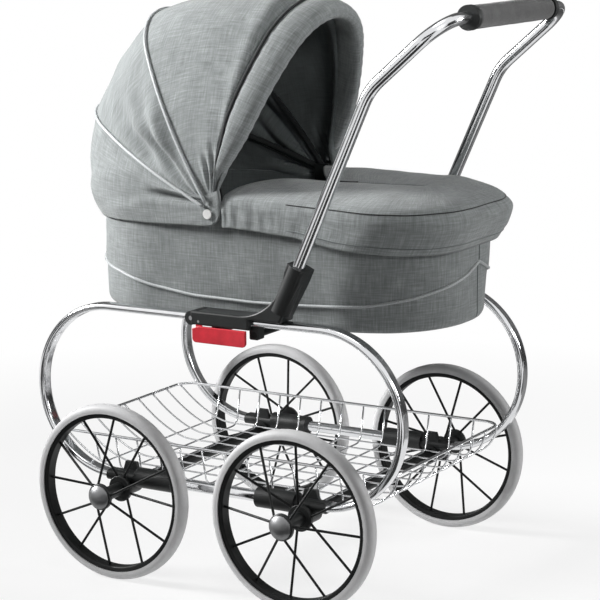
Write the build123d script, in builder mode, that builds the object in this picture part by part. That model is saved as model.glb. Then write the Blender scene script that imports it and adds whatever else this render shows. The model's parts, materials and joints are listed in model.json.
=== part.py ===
from build123d import *
import os
from math import asin, atan2, cos, degrees, hypot, radians, sin, tan

os.makedirs("parts", exist_ok=True)

# Doll pram. The origin is on the floor, midway between the four wheels.
# +X points back to the handle, -Y is the pram's left side, +Z is up. Millimetres throughout.
SIDES = {"left": -1, "right": 1}
ENDS = {"front": -1, "rear": 1}

# Clearances
running_clearance = 0.05
slip_clearance = 0.3
panel_gap = 0.6

# Wheels
wheel_radius = 105.0
wheelbase = 248.0
track = 370.0
tyre_depth = 10.0
tyre_width = 18.0
tyre_round = 7.0
rim_depth = 5.5
rim_width = 15.0
spoke_count = 12
spoke_diameter = 3.0
spoke_lean = 14.0
spoke_turn = {"front_left": 56.0, "front_right": 50.0, "rear_left": 87.0, "rear_right": 16.0}
hub_barrel_diameter = 16.0
hub_flange_diameter = 31.0
hub_flange_width = 6.0
hub_outer_reach = 27.0
hub_inner_reach = 19.0
cap_diameter = 27.5
cap_height = 9.0
cap_seat = 2.0
cap_lip = 1.0
axle_diameter = 8.0

# Side hoops, bottom rails and axle brackets
hoop_gauge = 302.0
hoop_length = 491.0
hoop_bottom = 116.0
hoop_height = 203.0
tube_width = 17.0
tube_thickness = 8.5
tube_wall = 1.2
rail_diameter = 13.0
rail_wall = 1.2
sleeve_diameter = 24.0
sleeve_inner_end = 58.0
sleeve_step = 110.0
sleeve_outer_end = 150.0
sleeve_wall = 2.0
socket_stop = 118.0
rail_socket = 24.0
boss_diameter = 22.0
boss_gap = 1.0
bracket_rib_height = 12.0
bracket_rib_foot = 26.0
bracket_rib_top = 15.0
bracket_rib_thickness = 5.0
cross_tube_diameter = 14.0

# Wire basket
basket_rim_z = 157.0
basket_rim_wire = 3.4
basket_wire = 2.2
basket_front_x = -240.0
basket_rear_x = 224.0
basket_half_width = 137.0
basket_floor_half_width = 124.0
basket_floor_front_x = -158.0
basket_floor_rear_x = 152.0
basket_corner = 22.0
basket_pitch_x = 25.8
basket_pitch_y = 27.5
basket_front_bow = 13.0

# Cradle rods under the bassinet, in blocks below the top run of the hoops
cradle_rod_diameter = 8.0
cradle_rear_x = 59.0
cradle_front_x = 8.0
cradle_block_length = 12.0
cradle_block_width = 12.0
cradle_block_drop = 15.0

# Hinge mouldings that carry the handle, and their red release levers
fold_pivot_x = -21.0
fold_pin_diameter = 5.0
knuckle_radius = 8.0
knuckle_width = 22.0
cheek = 3.0
arm_end_x = 57.0
arm_height = 16.0
arm_roof = 4.0
arm_outer_wall = 6.5
arm_inner_wall = 5.5
gusset_inner_wall = 1.5
arm_edge_round = 2.4
gusset_end_x = 98.0
gusset_sweep = 62.0
handle_socket_diameter = 22.5
lever_front_x = -19.0
lever_rear_x = 53.0
lever_height = 19.0
lever_thickness = 3.6
lever_corner = 5.0
lever_pivot_x = -10.0
lever_pin_diameter = 3.0
lever_eye_radius = 4.0
lever_eye_width = 2.0
lever_travel = 16.0

# Handle
handle_gauge = 316.0
handle_diameter = 14.0
handle_wall = 1.2
handle_mouth_x = 119.4
handle_mouth_z = 388.0
handle_depth = 58.0
handle_bend_x = 210.5
handle_bend_z = 586.0
handle_bend_radius = 70.0
handle_bar_x = 298.5
handle_bar_z = 661.0
handle_corner_radius = 38.0
grip_length = 187.0
grip_diameter = 26.0
grip_ring_length = 7.0
grip_ring_diameter = 27.5

# Bassinet
cot_floor_z = 309.3
cot_rim_z = 448.7
cot_turn_height = 11.0
cot_turn_inset = 8.0
cot_bottom_head_x = -226.0
cot_bottom_foot_x = 254.0
cot_bottom_half_width = 121.0
cot_bottom_corner = 112.0
cot_top_head_x = -223.0
cot_top_foot_x = 252.0
cot_top_half_width = 128.0
cot_top_head_corner = 124.0
cot_top_foot_corner = 104.0
cot_wall = 4.0
board_thickness = 5.0
board_inset = 10.0
mattress_thickness = 24.0
mattress_inset = 3.0
mattress_crown_inset = 14.0
mattress_tuck_inset = 9.0

# Foot apron
apron_front_x = 4.5
apron_hem_z = 404.0
apron_top_z = 452.0
apron_hem_foot_x = 259.0
apron_top_foot_x = 273.0
apron_half_width = 135.0
apron_corner = 102.0
apron_crown = 7.0
apron_crown_inset = 46.0
apron_cloth = 2.6

# Hood: every bow turns on one axis across the bassinet, angles run from +X up towards +Z
hood_pivot_x = -15.0
hood_pivot_z = 456.0
hood_half_width = 136.0
hood_crown = 100.0
hood_cloth = 2.5
hood_foot = 12.0
hood_rear_angle = 159.0
hood_mid_angle = 125.0
hood_front_angle = 68.0
hood_rear_height = 243.0
hood_rear_panel_height = 241.0
hood_mid_height = 246.0
hood_main_panel_height = 227.0
hood_front_height = 226.0
hood_front_tuck = 2.0
curtain_front_x = 3.5
curtain_back_x = -251.0
curtain_hem_z = 421.0
curtain_hem_back_x = -232.5
curtain_hem_tilt = 1.5
curtain_crown = 131.0
roll_half_width = 136.3
roll_height = 231.0
roll_thickness = 16.0
roll_width = 34.0
roll_round = 6.5
roll_foot = 26.0
hood_front_travel = 40.0
bow_thickness = 2.8
bow_width = 5.0
bow_crown = 90.0
bow_drop = 0.8
bow_eye_radius = 6.5
bow_front_height = 220.0
stud_diameter = 6.0
stud_plate_thickness = 3.0
stud_plate_length = 20.0
stud_plate_foot_z = 414.0
stud_plate_rise = 7.0
snap_diameter = 11.0
snap_height = 2.2
snap_x = -14.0
snap_z = 435.0

# Places worked out from the sizes above
hoop_y = hoop_gauge / 2
hoop_radius = hoop_height / 2
hoop_middle = hoop_bottom + hoop_radius
hoop_top = hoop_bottom + hoop_height
hoop_bend_x = hoop_length / 2 - hoop_radius
wheel_y = track / 2
axle_x = wheelbase / 2
rim_outer = wheel_radius - tyre_depth
rim_inner = rim_outer - rim_depth
boss_outer_y = wheel_y - hub_inner_reach - boss_gap
sleeve_radius = sleeve_diameter / 2
cross_half = hoop_y - sleeve_radius
tube_underside = hoop_top - tube_thickness / 2
tube_upside = hoop_top + tube_thickness / 2
handle_y = handle_gauge / 2
handle_lean = atan2(handle_bend_x - handle_mouth_x, handle_bend_z - handle_mouth_z)
basket_floor_z = wheel_radius + cross_tube_diameter / 2 + slip_clearance
cradle_rod_z = cot_floor_z - slip_clearance - cradle_rod_diameter / 2
board_top_z = cot_floor_z + cot_wall + board_thickness
arm_top_z = tube_upside + slip_clearance + arm_roof
arm_bottom_z = arm_top_z - arm_height
slot_half = tube_width / 2 + slip_clearance
lever_y = hoop_y + slot_half + arm_outer_wall - lever_thickness / 2
lever_top_z = min(arm_bottom_z, hoop_top - knuckle_radius) - panel_gap
lever_pivot_z = arm_bottom_z + lever_eye_radius + panel_gap
lever_relief = (lever_pivot_x - lever_front_x) * tan(radians(lever_travel)) + slip_clearance
bow_span = {
    "rear": hood_half_width - hood_cloth - bow_drop - 3 * bow_thickness - 2 * slip_clearance,
    "mid": hood_half_width - hood_cloth - bow_drop - 2 * bow_thickness - slip_clearance,
    "front": hood_half_width - hood_cloth - bow_drop - bow_thickness,
}


def keep(piece, name):
    """Label a finished piece and write it as its own node."""
    piece.part.label = name
    export_step(piece.part, f"parts/{name}.step")


def side_plane(y):
    """Upright plane across the pram at y: its x runs along +X and its y runs up."""
    return Plane(origin=(0, y, 0), x_dir=(1, 0, 0), z_dir=(0, -1, 0))


def outward_plane(side, distance):
    """Upright plane at a distance from the middle whose normal points away from it."""
    return Plane(origin=(0, side * distance, 0), x_dir=(-side, 0, 0), z_dir=(0, side, 0))


def along_plane(x, y, way):
    """Upright plane across the bottom run of a hoop at (x, y) that faces along X."""
    return Plane(origin=(x, y, hoop_bottom), x_dir=(0, 1, 0), z_dir=(way, 0, 0))


def fan_plane(origin_x, origin_z, angle):
    """Plane across the pram through (origin_x, origin_z), raised by angle from +X."""
    turn = radians(angle)
    return Plane(origin=(origin_x, 0, origin_z), x_dir=(0, 1, 0), z_dir=(sin(turn), 0, -cos(turn)))


def hood_plane(angle):
    """Plane through the hood's own axis at an angle from +X."""
    return fan_plane(hood_pivot_x, hood_pivot_z, angle)


def cot_outline(head_x, foot_x, half_width, head_corner, foot_corner):
    """Plan of the bassinet: a rectangle with large rounded corners at head and foot."""
    with Locations(((head_x + foot_x) / 2, 0)):
        Rectangle(foot_x - head_x, 2 * half_width)
    fillet(vertices().group_by(Axis.X)[0], head_corner)
    fillet(vertices().group_by(Axis.X)[-1], foot_corner)


def arch(half_width, height, crown, foot):
    """Three-centred arch over the hood's axis: two long side arcs and one crown arc."""
    side_radius = (half_width**2 + (height - crown) ** 2 - crown**2) / (2 * (half_width - crown))
    side_centre = half_width - side_radius
    turn = degrees(atan2(height - crown, -side_centre))
    lift = degrees(asin(foot / side_radius))
    first = CenterArc((side_centre, 0), side_radius, lift, turn - lift)
    CenterArc((0, height - crown), crown, turn, 180 - 2 * turn)
    last = CenterArc((-side_centre, 0), side_radius, 180 - turn, turn - lift)
    return first @ 0, last @ 1


def arch_band(plane, half_width, height, crown, thickness, foot):
    """Strip of one thickness on a plane that follows the arch on the inside of its outline."""
    with BuildSketch(plane) as band:
        with BuildLine():
            outer = arch(half_width, height, crown, foot)
            inner = arch(half_width - thickness, height - thickness, crown - thickness, foot)
            Line(outer[0], inner[0])
            Line(outer[1], inner[1])
        make_face()
    return band.sketch


# Wheels


def make_tyre(x, side):
    with BuildPart() as tyre:
        with BuildSketch(Plane.XY.offset(wheel_radius)):
            with Locations((x + rim_outer + tyre_depth / 2, side * wheel_y)):
                Rectangle(tyre_depth, tyre_width)
            fillet(vertices().group_by(Axis.X)[-1], tyre_round)
        revolve(axis=Axis((x, 0, wheel_radius), (0, 1, 0)))
    return tyre


def make_rim(x, side):
    lip = rim_depth / 4
    with BuildPart() as rim:
        with BuildSketch(Plane.XY.offset(wheel_radius)):
            with Locations((x + rim_inner + rim_depth / 2, side * wheel_y)):
                Rectangle(rim_depth, rim_width)
            fillet(vertices().group_by(Axis.X)[0], lip)
        revolve(axis=Axis((x, 0, wheel_radius), (0, 1, 0)))
    return rim


def make_hub(x, side):
    inner_face = wheel_y - hub_inner_reach
    outer_face = wheel_y + hub_outer_reach
    flange = hub_flange_diameter / 2
    barrel = hub_barrel_diameter / 2
    with BuildPart() as hub:
        with BuildSketch(outward_plane(side, inner_face)):
            with Locations((-side * x, wheel_radius)):
                Circle(barrel)
        extrude(amount=outer_face - inner_face)
        for start in (inner_face, outer_face - hub_flange_width):
            with BuildSketch(outward_plane(side, start)):
                with Locations((-side * x, wheel_radius)):
                    Circle(flange)
            extrude(amount=hub_flange_width)
        rims = hub.edges().filter_by(GeomType.CIRCLE).filter_by(lambda e: abs(e.radius - flange) < 0.01)
        chamfer(rims, hub_flange_width / 5)
        with BuildSketch(outward_plane(side, outer_face - cap_seat)):
            with Locations((-side * x, wheel_radius)):
                Circle(cap_diameter / 2)
        extrude(amount=cap_seat, mode=Mode.SUBTRACT)
        with BuildSketch(outward_plane(side, inner_face)):
            with Locations((-side * x, wheel_radius)):
                Circle(axle_diameter / 2 + running_clearance)
        extrude(amount=outer_face - inner_face, mode=Mode.SUBTRACT)
    return hub


def make_cap(x, side):
    foot = wheel_y + hub_outer_reach - cap_seat
    rise = cap_height - cap_seat - cap_lip
    dome_radius = ((cap_diameter / 2) ** 2 + rise**2) / (2 * rise)
    with BuildPart() as cap:
        with BuildSketch(outward_plane(side, foot)):
            with Locations((-side * x, wheel_radius)):
                Circle(cap_diameter / 2)
        extrude(amount=cap_height)
        with Locations((x, side * (foot + cap_height - dome_radius), wheel_radius)):
            Sphere(dome_radius, mode=Mode.INTERSECT)
    return cap


def make_spokes(x, side, turn, hub, rim):
    outer_y = side * (wheel_y + hub_outer_reach - hub_flange_width / 2)
    inner_y = side * (wheel_y - hub_inner_reach + hub_flange_width / 2)
    root = hub_flange_diameter / 2 - spoke_diameter * 0.4
    tip = rim_inner + rim_depth / 2
    with BuildPart() as spokes:
        for index in range(spoke_count):
            angle = turn + 360 / spoke_count * index
            lean = spoke_lean if index % 4 < 2 else -spoke_lean
            flange_y = outer_y if index % 2 else inner_y
            near = radians(angle + lean)
            far = radians(angle)
            start = Vector(x + root * cos(near), flange_y, wheel_radius + root * sin(near))
            end = Vector(x + tip * cos(far), side * wheel_y, wheel_radius + tip * sin(far))
            with BuildSketch(Plane(origin=start, z_dir=end - start)):
                Circle(spoke_diameter / 2)
            extrude(amount=(end - start).length)
        add(hub.part, mode=Mode.SUBTRACT)
        add(rim.part, mode=Mode.SUBTRACT)
    return spokes


for end_name, end in ENDS.items():
    for side_name, side in SIDES.items():
        place = f"{end_name}_{side_name}"
        wheel_tyre = make_tyre(end * axle_x, side)
        wheel_rim = make_rim(end * axle_x, side)
        wheel_hub = make_hub(end * axle_x, side)
        keep(wheel_tyre, f"tyre_{place}")
        keep(wheel_rim, f"rim_{place}")
        keep(wheel_hub, f"hub_{place}")
        keep(make_cap(end * axle_x, side), f"hub_cap_{place}")
        keep(make_spokes(end * axle_x, side, spoke_turn[place], wheel_hub, wheel_rim), f"spokes_{place}")


# Chassis


def make_hoop(side):
    y = side * hoop_y
    with BuildPart() as hoop:
        with BuildLine(side_plane(y)) as route:
            Line((-socket_stop, hoop_bottom), (-hoop_bend_x, hoop_bottom))
            CenterArc((-hoop_bend_x, hoop_middle), hoop_radius, 270, -90)
            CenterArc((-hoop_bend_x, hoop_middle), hoop_radius, 180, -90)
            Line((-hoop_bend_x, hoop_top), (hoop_bend_x, hoop_top))
            CenterArc((hoop_bend_x, hoop_middle), hoop_radius, 90, -90)
            CenterArc((hoop_bend_x, hoop_middle), hoop_radius, 0, -90)
            Line((hoop_bend_x, hoop_bottom), (socket_stop, hoop_bottom))
        start = Vector(-socket_stop, y, hoop_bottom)
        with BuildSketch(Plane(origin=start, x_dir=(0, 1, 0), z_dir=(-1, 0, 0))):
            SlotOverall(tube_width, tube_thickness)
            SlotOverall(tube_width - 2 * tube_wall, tube_thickness - 2 * tube_wall, mode=Mode.SUBTRACT)
        sweep(path=route.line)
        with Locations((fold_pivot_x, y, hoop_top)):
            Cylinder(fold_pin_diameter / 2, 2 * tube_width, rotation=(90, 0, 0), mode=Mode.SUBTRACT)
    return hoop


def make_bracket(end, side):
    y = side * hoop_y
    inner_y = hoop_y - sleeve_radius
    with BuildPart() as bracket:
        with BuildSketch(along_plane(end * sleeve_inner_end, y, end)):
            Circle(sleeve_radius)
        extrude(amount=sleeve_step - sleeve_inner_end)
        with BuildSketch(along_plane(end * sleeve_step, y, end)):
            SlotOverall(tube_width + 2 * sleeve_wall, tube_thickness + 2 * sleeve_wall)
        extrude(amount=sleeve_outer_end - sleeve_step)
        with BuildSketch(outward_plane(side, inner_y)):
            with Locations((-side * end * axle_x, wheel_radius)):
                Circle(boss_diameter / 2)
        extrude(amount=boss_outer_y - inner_y)
        rib_foot_z = hoop_bottom
        rib_top_z = hoop_bottom + tube_thickness / 2 + bracket_rib_height
        with BuildSketch(outward_plane(side, hoop_y - tube_width / 2)):
            with BuildLine():
                Polyline(
                    (-side * end * axle_x - bracket_rib_foot / 2, rib_foot_z),
                    (-side * end * axle_x + bracket_rib_foot / 2, rib_foot_z),
                    (-side * end * axle_x + bracket_rib_top / 2, rib_top_z),
                    (-side * end * axle_x - bracket_rib_top / 2, rib_top_z),
                    close=True,
                )
            make_face()
        extrude(amount=bracket_rib_thickness)
        with BuildSketch(along_plane(end * sleeve_inner_end, y, end)):
            Circle(rail_diameter / 2)
        extrude(amount=rail_socket, mode=Mode.SUBTRACT)
        with BuildSketch(along_plane(end * sleeve_outer_end, y, -end)):
            SlotOverall(tube_width + 2 * slip_clearance, tube_thickness + 2 * slip_clearance)
        extrude(amount=sleeve_outer_end - socket_stop, mode=Mode.SUBTRACT)
        with BuildSketch(outward_plane(side, inner_y)):
            with Locations((-side * end * axle_x, wheel_radius)):
                Circle(axle_diameter / 2)
        extrude(amount=boss_outer_y - inner_y, mode=Mode.SUBTRACT)
    return bracket


for side_name, side in SIDES.items():
    keep(make_hoop(side), f"side_hoop_{side_name}")
    for end_name, end in ENDS.items():
        keep(make_bracket(end, side), f"axle_bracket_{end_name}_{side_name}")

rail_end_x = sleeve_inner_end + rail_socket
with BuildPart() as bottom_rails:
    for side in SIDES.values():
        with BuildSketch(along_plane(-rail_end_x, side * hoop_y, 1)):
            Circle(rail_diameter / 2)
            Circle(rail_diameter / 2 - rail_wall, mode=Mode.SUBTRACT)
        extrude(amount=2 * rail_end_x)
keep(bottom_rails, "bottom_rails")

axle_reach = wheel_y + hub_outer_reach - cap_seat - slip_clearance
with BuildPart() as axles:
    for end in ENDS.values():
        with BuildSketch(side_plane(axle_reach)):
            with Locations((end * axle_x, wheel_radius)):
                Circle(axle_diameter / 2)
        extrude(amount=2 * axle_reach)
keep(axles, "axles")

with BuildPart() as cross_tubes:
    for end in ENDS.values():
        with BuildSketch(side_plane(cross_half)):
            with Locations((end * axle_x, wheel_radius)):
                Circle(cross_tube_diameter / 2)
                Circle(axle_diameter / 2, mode=Mode.SUBTRACT)
        extrude(amount=2 * cross_half)
keep(cross_tubes, "cross_tubes")

# Wire basket: a closed rim wire and five nets of flat-sided wire

with BuildPart() as basket_rim:
    with BuildLine(Plane.XY.offset(basket_rim_z)) as rim_route:
        FilletPolyline(
            (basket_rear_x, basket_half_width),
            (basket_rear_x, -basket_half_width),
            (basket_front_x, -basket_half_width),
            (basket_front_x, basket_half_width),
            radius=basket_corner,
            close=True,
        )
    with BuildSketch(Plane(origin=rim_route.line @ 0, x_dir=(0, 0, 1), z_dir=rim_route.line % 0)):
        Circle(basket_rim_wire / 2)
    sweep(path=rim_route.line)
keep(basket_rim, "basket_rim")

floor_length = basket_floor_rear_x - basket_floor_front_x
floor_middle_x = (basket_floor_rear_x + basket_floor_front_x) / 2
gaps_x = int((floor_length - basket_wire) / basket_pitch_x)
gaps_y = int((2 * basket_floor_half_width - basket_wire) / basket_pitch_y)
floor_pitch_x = (floor_length - basket_wire) / gaps_x
floor_pitch_y = (2 * basket_floor_half_width - basket_wire) / gaps_y
with BuildPart() as basket_floor:
    with BuildSketch(Plane.XY.offset(basket_floor_z)):
        with Locations((floor_middle_x, 0)):
            Rectangle(floor_length, 2 * basket_floor_half_width)
            with GridLocations(floor_pitch_x, floor_pitch_y, gaps_x, gaps_y):
                Rectangle(floor_pitch_x - basket_wire, floor_pitch_y - basket_wire, mode=Mode.SUBTRACT)
    extrude(amount=basket_wire)
keep(basket_floor, "basket_floor")

net_top_z = basket_rim_z - basket_rim_wire / 2 - slip_clearance
net_foot_y = basket_floor_half_width + basket_wire + slip_clearance
net_rise = net_top_z - basket_floor_z
net_spread = basket_half_width - net_foot_y
net_slope = hypot(net_rise, net_spread)


def make_side_net(side):
    plane = Plane(
        origin=(0, side * net_foot_y, basket_floor_z),
        x_dir=(1, 0, 0),
        z_dir=(0, -net_rise, side * net_spread),
    )
    top_front = basket_front_x + basket_corner
    top_rear = basket_rear_x - basket_corner
    edge = basket_wire
    bars = int((top_rear - top_front) / basket_pitch_x)
    with BuildPart() as net:
        with BuildSketch(plane):
            Polygon(
                (basket_floor_front_x, 0),
                (basket_floor_rear_x, 0),
                (top_rear, net_slope),
                (top_front, net_slope),
                align=None,
            )
            Polygon(
                (basket_floor_front_x + edge / 2, edge),
                (basket_floor_rear_x - edge / 2, edge),
                (top_rear - 2 * edge, net_slope - edge),
                (top_front + 2 * edge, net_slope - edge),
                align=None,
                mode=Mode.SUBTRACT,
            )
            with Locations(((top_front + top_rear) / 2, net_slope / 2)):
                with GridLocations(basket_pitch_x, 1, bars, 1):
                    Rectangle(edge, net_slope)
            Polygon(
                (basket_floor_front_x, 0),
                (basket_floor_rear_x, 0),
                (top_rear, net_slope),
                (top_front, net_slope),
                align=None,
                mode=Mode.INTERSECT,
            )
        extrude(amount=edge / 2, both=True)
    return net


for side_name, side in SIDES.items():
    keep(make_side_net(side), f"basket_side_{side_name}")

end_gaps = gaps_y
end_half_width = basket_floor_half_width - basket_wire
end_pitch = (2 * end_half_width - basket_wire) / end_gaps


def end_gap_cut(front_x, rear_x):
    """Gaps between the lengthwise wires of an end net, seen from above."""
    with BuildSketch(Plane.XY) as gaps:
        with Locations(((front_x + rear_x) / 2, 0)):
            with GridLocations(1, end_pitch, 1, end_gaps):
                Rectangle(rear_x - front_x, end_pitch - basket_wire)
    return gaps.sketch


net_front_x = basket_front_x + basket_rim_wire
with BuildPart() as basket_front:
    foot_x = basket_floor_front_x - slip_clearance
    middle_x = (net_front_x + foot_x) / 2
    middle_z = (net_top_z + basket_floor_z) / 2 - basket_front_bow
    with BuildSketch(side_plane(end_half_width)):
        with BuildLine():
            under = ThreePointArc((net_front_x, net_top_z), (middle_x, middle_z), (foot_x, basket_floor_z))
            over = ThreePointArc(
                (net_front_x + basket_wire, net_top_z),
                (middle_x + basket_wire * 0.6, middle_z + basket_wire),
                (foot_x, basket_floor_z + basket_wire),
            )
            Line(under @ 0, over @ 0)
            Line(under @ 1, over @ 1)
        make_face()
    extrude(amount=2 * end_half_width)
    gaps = end_gap_cut(net_front_x + 2 * basket_wire, foot_x - 2 * basket_wire)
    extrude(gaps, amount=2 * basket_rim_z, mode=Mode.SUBTRACT)
keep(basket_front, "basket_front")

net_rear_x = basket_rear_x - basket_rim_wire
with BuildPart() as basket_rear:
    foot_x = basket_floor_rear_x + slip_clearance
    with BuildSketch(side_plane(end_half_width)):
        with BuildLine():
            Polyline(
                (foot_x, basket_floor_z),
                (net_rear_x, net_top_z - basket_wire),
                (net_rear_x, net_top_z),
                (net_rear_x - basket_wire, net_top_z),
                (foot_x, basket_floor_z + basket_wire),
                close=True,
            )
        make_face()
    extrude(amount=2 * end_half_width)
    gaps = end_gap_cut(foot_x + 2 * basket_wire, net_rear_x - 2 * basket_wire)
    extrude(gaps, amount=2 * basket_rim_z, mode=Mode.SUBTRACT)
keep(basket_rear, "basket_rear")

# Cradle rods and blocks

block_foot_z = tube_underside - cradle_block_drop
with BuildPart() as cradle_blocks:
    for x in (cradle_front_x, cradle_rear_x):
        for side in SIDES.values():
            with BuildSketch(side_plane(side * hoop_y + cradle_block_width / 2)):
                with Locations((x, (block_foot_z + tube_underside) / 2)):
                    RectangleRounded(cradle_block_length, cradle_block_drop, 2)
            extrude(amount=cradle_block_width)
            with Locations((x, side * hoop_y, cradle_rod_z)):
                Cylinder(cradle_rod_diameter / 2, 2 * cradle_block_width, rotation=(90, 0, 0),
                         mode=Mode.SUBTRACT)
keep(cradle_blocks, "cradle_blocks")

rod_reach = hoop_y + cradle_block_width / 2
with BuildPart() as cradle_rods:
    for x in (cradle_front_x, cradle_rear_x):
        with BuildSketch(side_plane(rod_reach)):
            with Locations((x, cradle_rod_z)):
                Circle(cradle_rod_diameter / 2)
        extrude(amount=2 * rod_reach)
keep(cradle_rods, "cradle_rods")

# Handle hinge: fixed knuckles and pins on the hoops, turning mouldings and levers with the handle

with BuildPart() as hinge_knuckles:
    for side in SIDES.values():
        with BuildSketch(side_plane(side * hoop_y + knuckle_width / 2)):
            with Locations((fold_pivot_x, hoop_top)):
                Circle(knuckle_radius)
        extrude(amount=knuckle_width)
        pivot = (fold_pivot_x, side * hoop_y, hoop_top)
        with BuildSketch(Plane(origin=pivot, x_dir=(0, 1, 0), z_dir=(1, 0, 0))):
            SlotOverall(tube_width, tube_thickness)
        extrude(amount=2 * knuckle_radius, both=True, mode=Mode.SUBTRACT)
        with Locations((fold_pivot_x, side * hoop_y, hoop_top)):
            Cylinder(fold_pin_diameter / 2, 2 * knuckle_width, rotation=(90, 0, 0), mode=Mode.SUBTRACT)
keep(hinge_knuckles, "hinge_knuckles")

cheek_inner = knuckle_width / 2 + slip_clearance
pin_reach = cheek_inner + cheek
with BuildPart() as fold_pins:
    for side in SIDES.values():
        with BuildSketch(side_plane(side * hoop_y + pin_reach)):
            with Locations((fold_pivot_x, hoop_top)):
                Circle(fold_pin_diameter / 2)
        extrude(amount=2 * pin_reach)
keep(fold_pins, "fold_pins")

socket_radius = handle_socket_diameter / 2
socket_across = (cos(handle_lean), -sin(handle_lean))


def down_tube(point, distance):
    """Point at a distance down the handle's lower run from a point beside it."""
    return point[0] - distance * sin(handle_lean), point[1] - distance * cos(handle_lean)


handle_mouth = (handle_mouth_x, handle_mouth_z)
mouth_half = (socket_radius * socket_across[0], socket_radius * socket_across[1])
mouth_rear = (handle_mouth_x + mouth_half[0], handle_mouth_z + mouth_half[1])
mouth_front = (handle_mouth_x - mouth_half[0], handle_mouth_z - mouth_half[1])
knee_front = down_tube(mouth_front, socket_radius)
knee_rear = down_tube(mouth_rear, 1.4 * socket_radius)
arm_tail_z = tube_upside + slip_clearance
tube_foot = down_tube(handle_mouth, handle_depth)


def make_moulding(side):
    inner = hoop_y - slot_half - arm_inner_wall
    outer = hoop_y + slot_half + arm_outer_wall
    first = side * outer if side > 0 else side * inner
    with BuildPart() as moulding:
        with BuildSketch(side_plane(first)):
            with BuildLine():
                front_foot = (fold_pivot_x, arm_bottom_z)
                nose = Line(front_foot, (arm_end_x, arm_bottom_z))
                Line(nose @ 1, (arm_end_x, arm_tail_z))
                Line((arm_end_x, arm_tail_z), (gusset_end_x, arm_tail_z))
                Line((gusset_end_x, arm_tail_z), knee_rear)
                Line(knee_rear, mouth_rear)
                Line(mouth_rear, mouth_front)
                Line(mouth_front, knee_front)
                bend_foot = (knee_front[0] - gusset_sweep, arm_top_z)
                TangentArc(bend_foot, knee_front, tangent=(1, 0))
                Line(bend_foot, (fold_pivot_x, arm_top_z))
                Line((fold_pivot_x, arm_top_z), front_foot)
            make_face()
        extrude(amount=outer - inner)
        for face_y in (inner, outer):
            flats = moulding.faces().filter_by(Axis.Y)
            flat = flats.sort_by(lambda f: abs(abs(f.center().Y) - face_y))[0]
            fillet(flat.edges(), arm_edge_round)
        relief_y = side * (hoop_y - slot_half - arm_inner_wall)
        with BuildSketch(side_plane(relief_y)):
            with Locations(((arm_end_x / 2 + handle_bend_x) / 2, (arm_top_z + handle_bend_z) / 2)):
                Rectangle(handle_bend_x - arm_end_x / 2, handle_bend_z - arm_top_z)
        extrude(amount=arm_inner_wall - gusset_inner_wall, both=True, mode=Mode.SUBTRACT)
        for cheek_side in (-1, 1):
            middle_y = side * (hoop_y + cheek_side * (cheek_inner + cheek / 2))
            with BuildSketch(side_plane(middle_y)):
                with Locations((fold_pivot_x, hoop_top)):
                    Circle(knuckle_radius)
                with Locations((fold_pivot_x + knuckle_radius, hoop_top)):
                    Rectangle(2 * knuckle_radius, arm_height - 2 * arm_edge_round)
            extrude(amount=cheek / 2, both=True)
        with BuildSketch(Plane(origin=(tube_foot[0], side * handle_y, tube_foot[1]), x_dir=(0, 1, 0),
                               z_dir=(sin(handle_lean), 0, cos(handle_lean)))):
            Circle(socket_radius)
        extrude(amount=handle_depth)
        with BuildSketch(side_plane(side * hoop_y + cheek_inner)):
            notch = knuckle_radius + panel_gap
            with Locations((fold_pivot_x, hoop_top)):
                Circle(notch)
            with Locations((fold_pivot_x + notch / 2, hoop_top + notch / 2)):
                Rectangle(notch, notch)
        extrude(amount=2 * cheek_inner, mode=Mode.SUBTRACT)
        with BuildSketch(side_plane(side * hoop_y + slot_half)):
            slot_front_x = fold_pivot_x - knuckle_radius
            with Locations(((slot_front_x + gusset_end_x) / 2, (arm_tail_z + arm_bottom_z) / 2 - 1)):
                Rectangle(gusset_end_x - fold_pivot_x + knuckle_radius, arm_tail_z - arm_bottom_z + 2)
        extrude(amount=2 * slot_half, mode=Mode.SUBTRACT)
        with Locations((fold_pivot_x, side * hoop_y, hoop_top)):
            Cylinder(fold_pin_diameter / 2 + running_clearance, 4 * knuckle_width, rotation=(90, 0, 0),
                     mode=Mode.SUBTRACT)
        with BuildSketch(Plane(origin=(tube_foot[0], side * handle_y, tube_foot[1]), x_dir=(0, 1, 0),
                               z_dir=(sin(handle_lean), 0, cos(handle_lean)))):
            Circle(handle_diameter / 2)
        extrude(amount=2 * handle_depth, mode=Mode.SUBTRACT)
        pocket = lever_eye_radius + panel_gap
        pocket_mouth = pocket + (lever_pivot_z - arm_bottom_z) * tan(radians(lever_travel))
        with BuildSketch(side_plane(side * lever_y)):
            with Locations((lever_pivot_x, lever_pivot_z)):
                Circle(pocket)
                with Locations((0, -lever_pivot_z / 2)):
                    Rectangle(2 * pocket_mouth, lever_pivot_z)
        extrude(amount=lever_eye_width / 2 + slip_clearance, both=True, mode=Mode.SUBTRACT)
        with BuildSketch(side_plane(side * lever_y)):
            with Locations((lever_pivot_x, lever_pivot_z)):
                Circle(lever_pin_diameter / 2)
        extrude(amount=lever_thickness / 2, both=True, mode=Mode.SUBTRACT)
    return moulding


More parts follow.
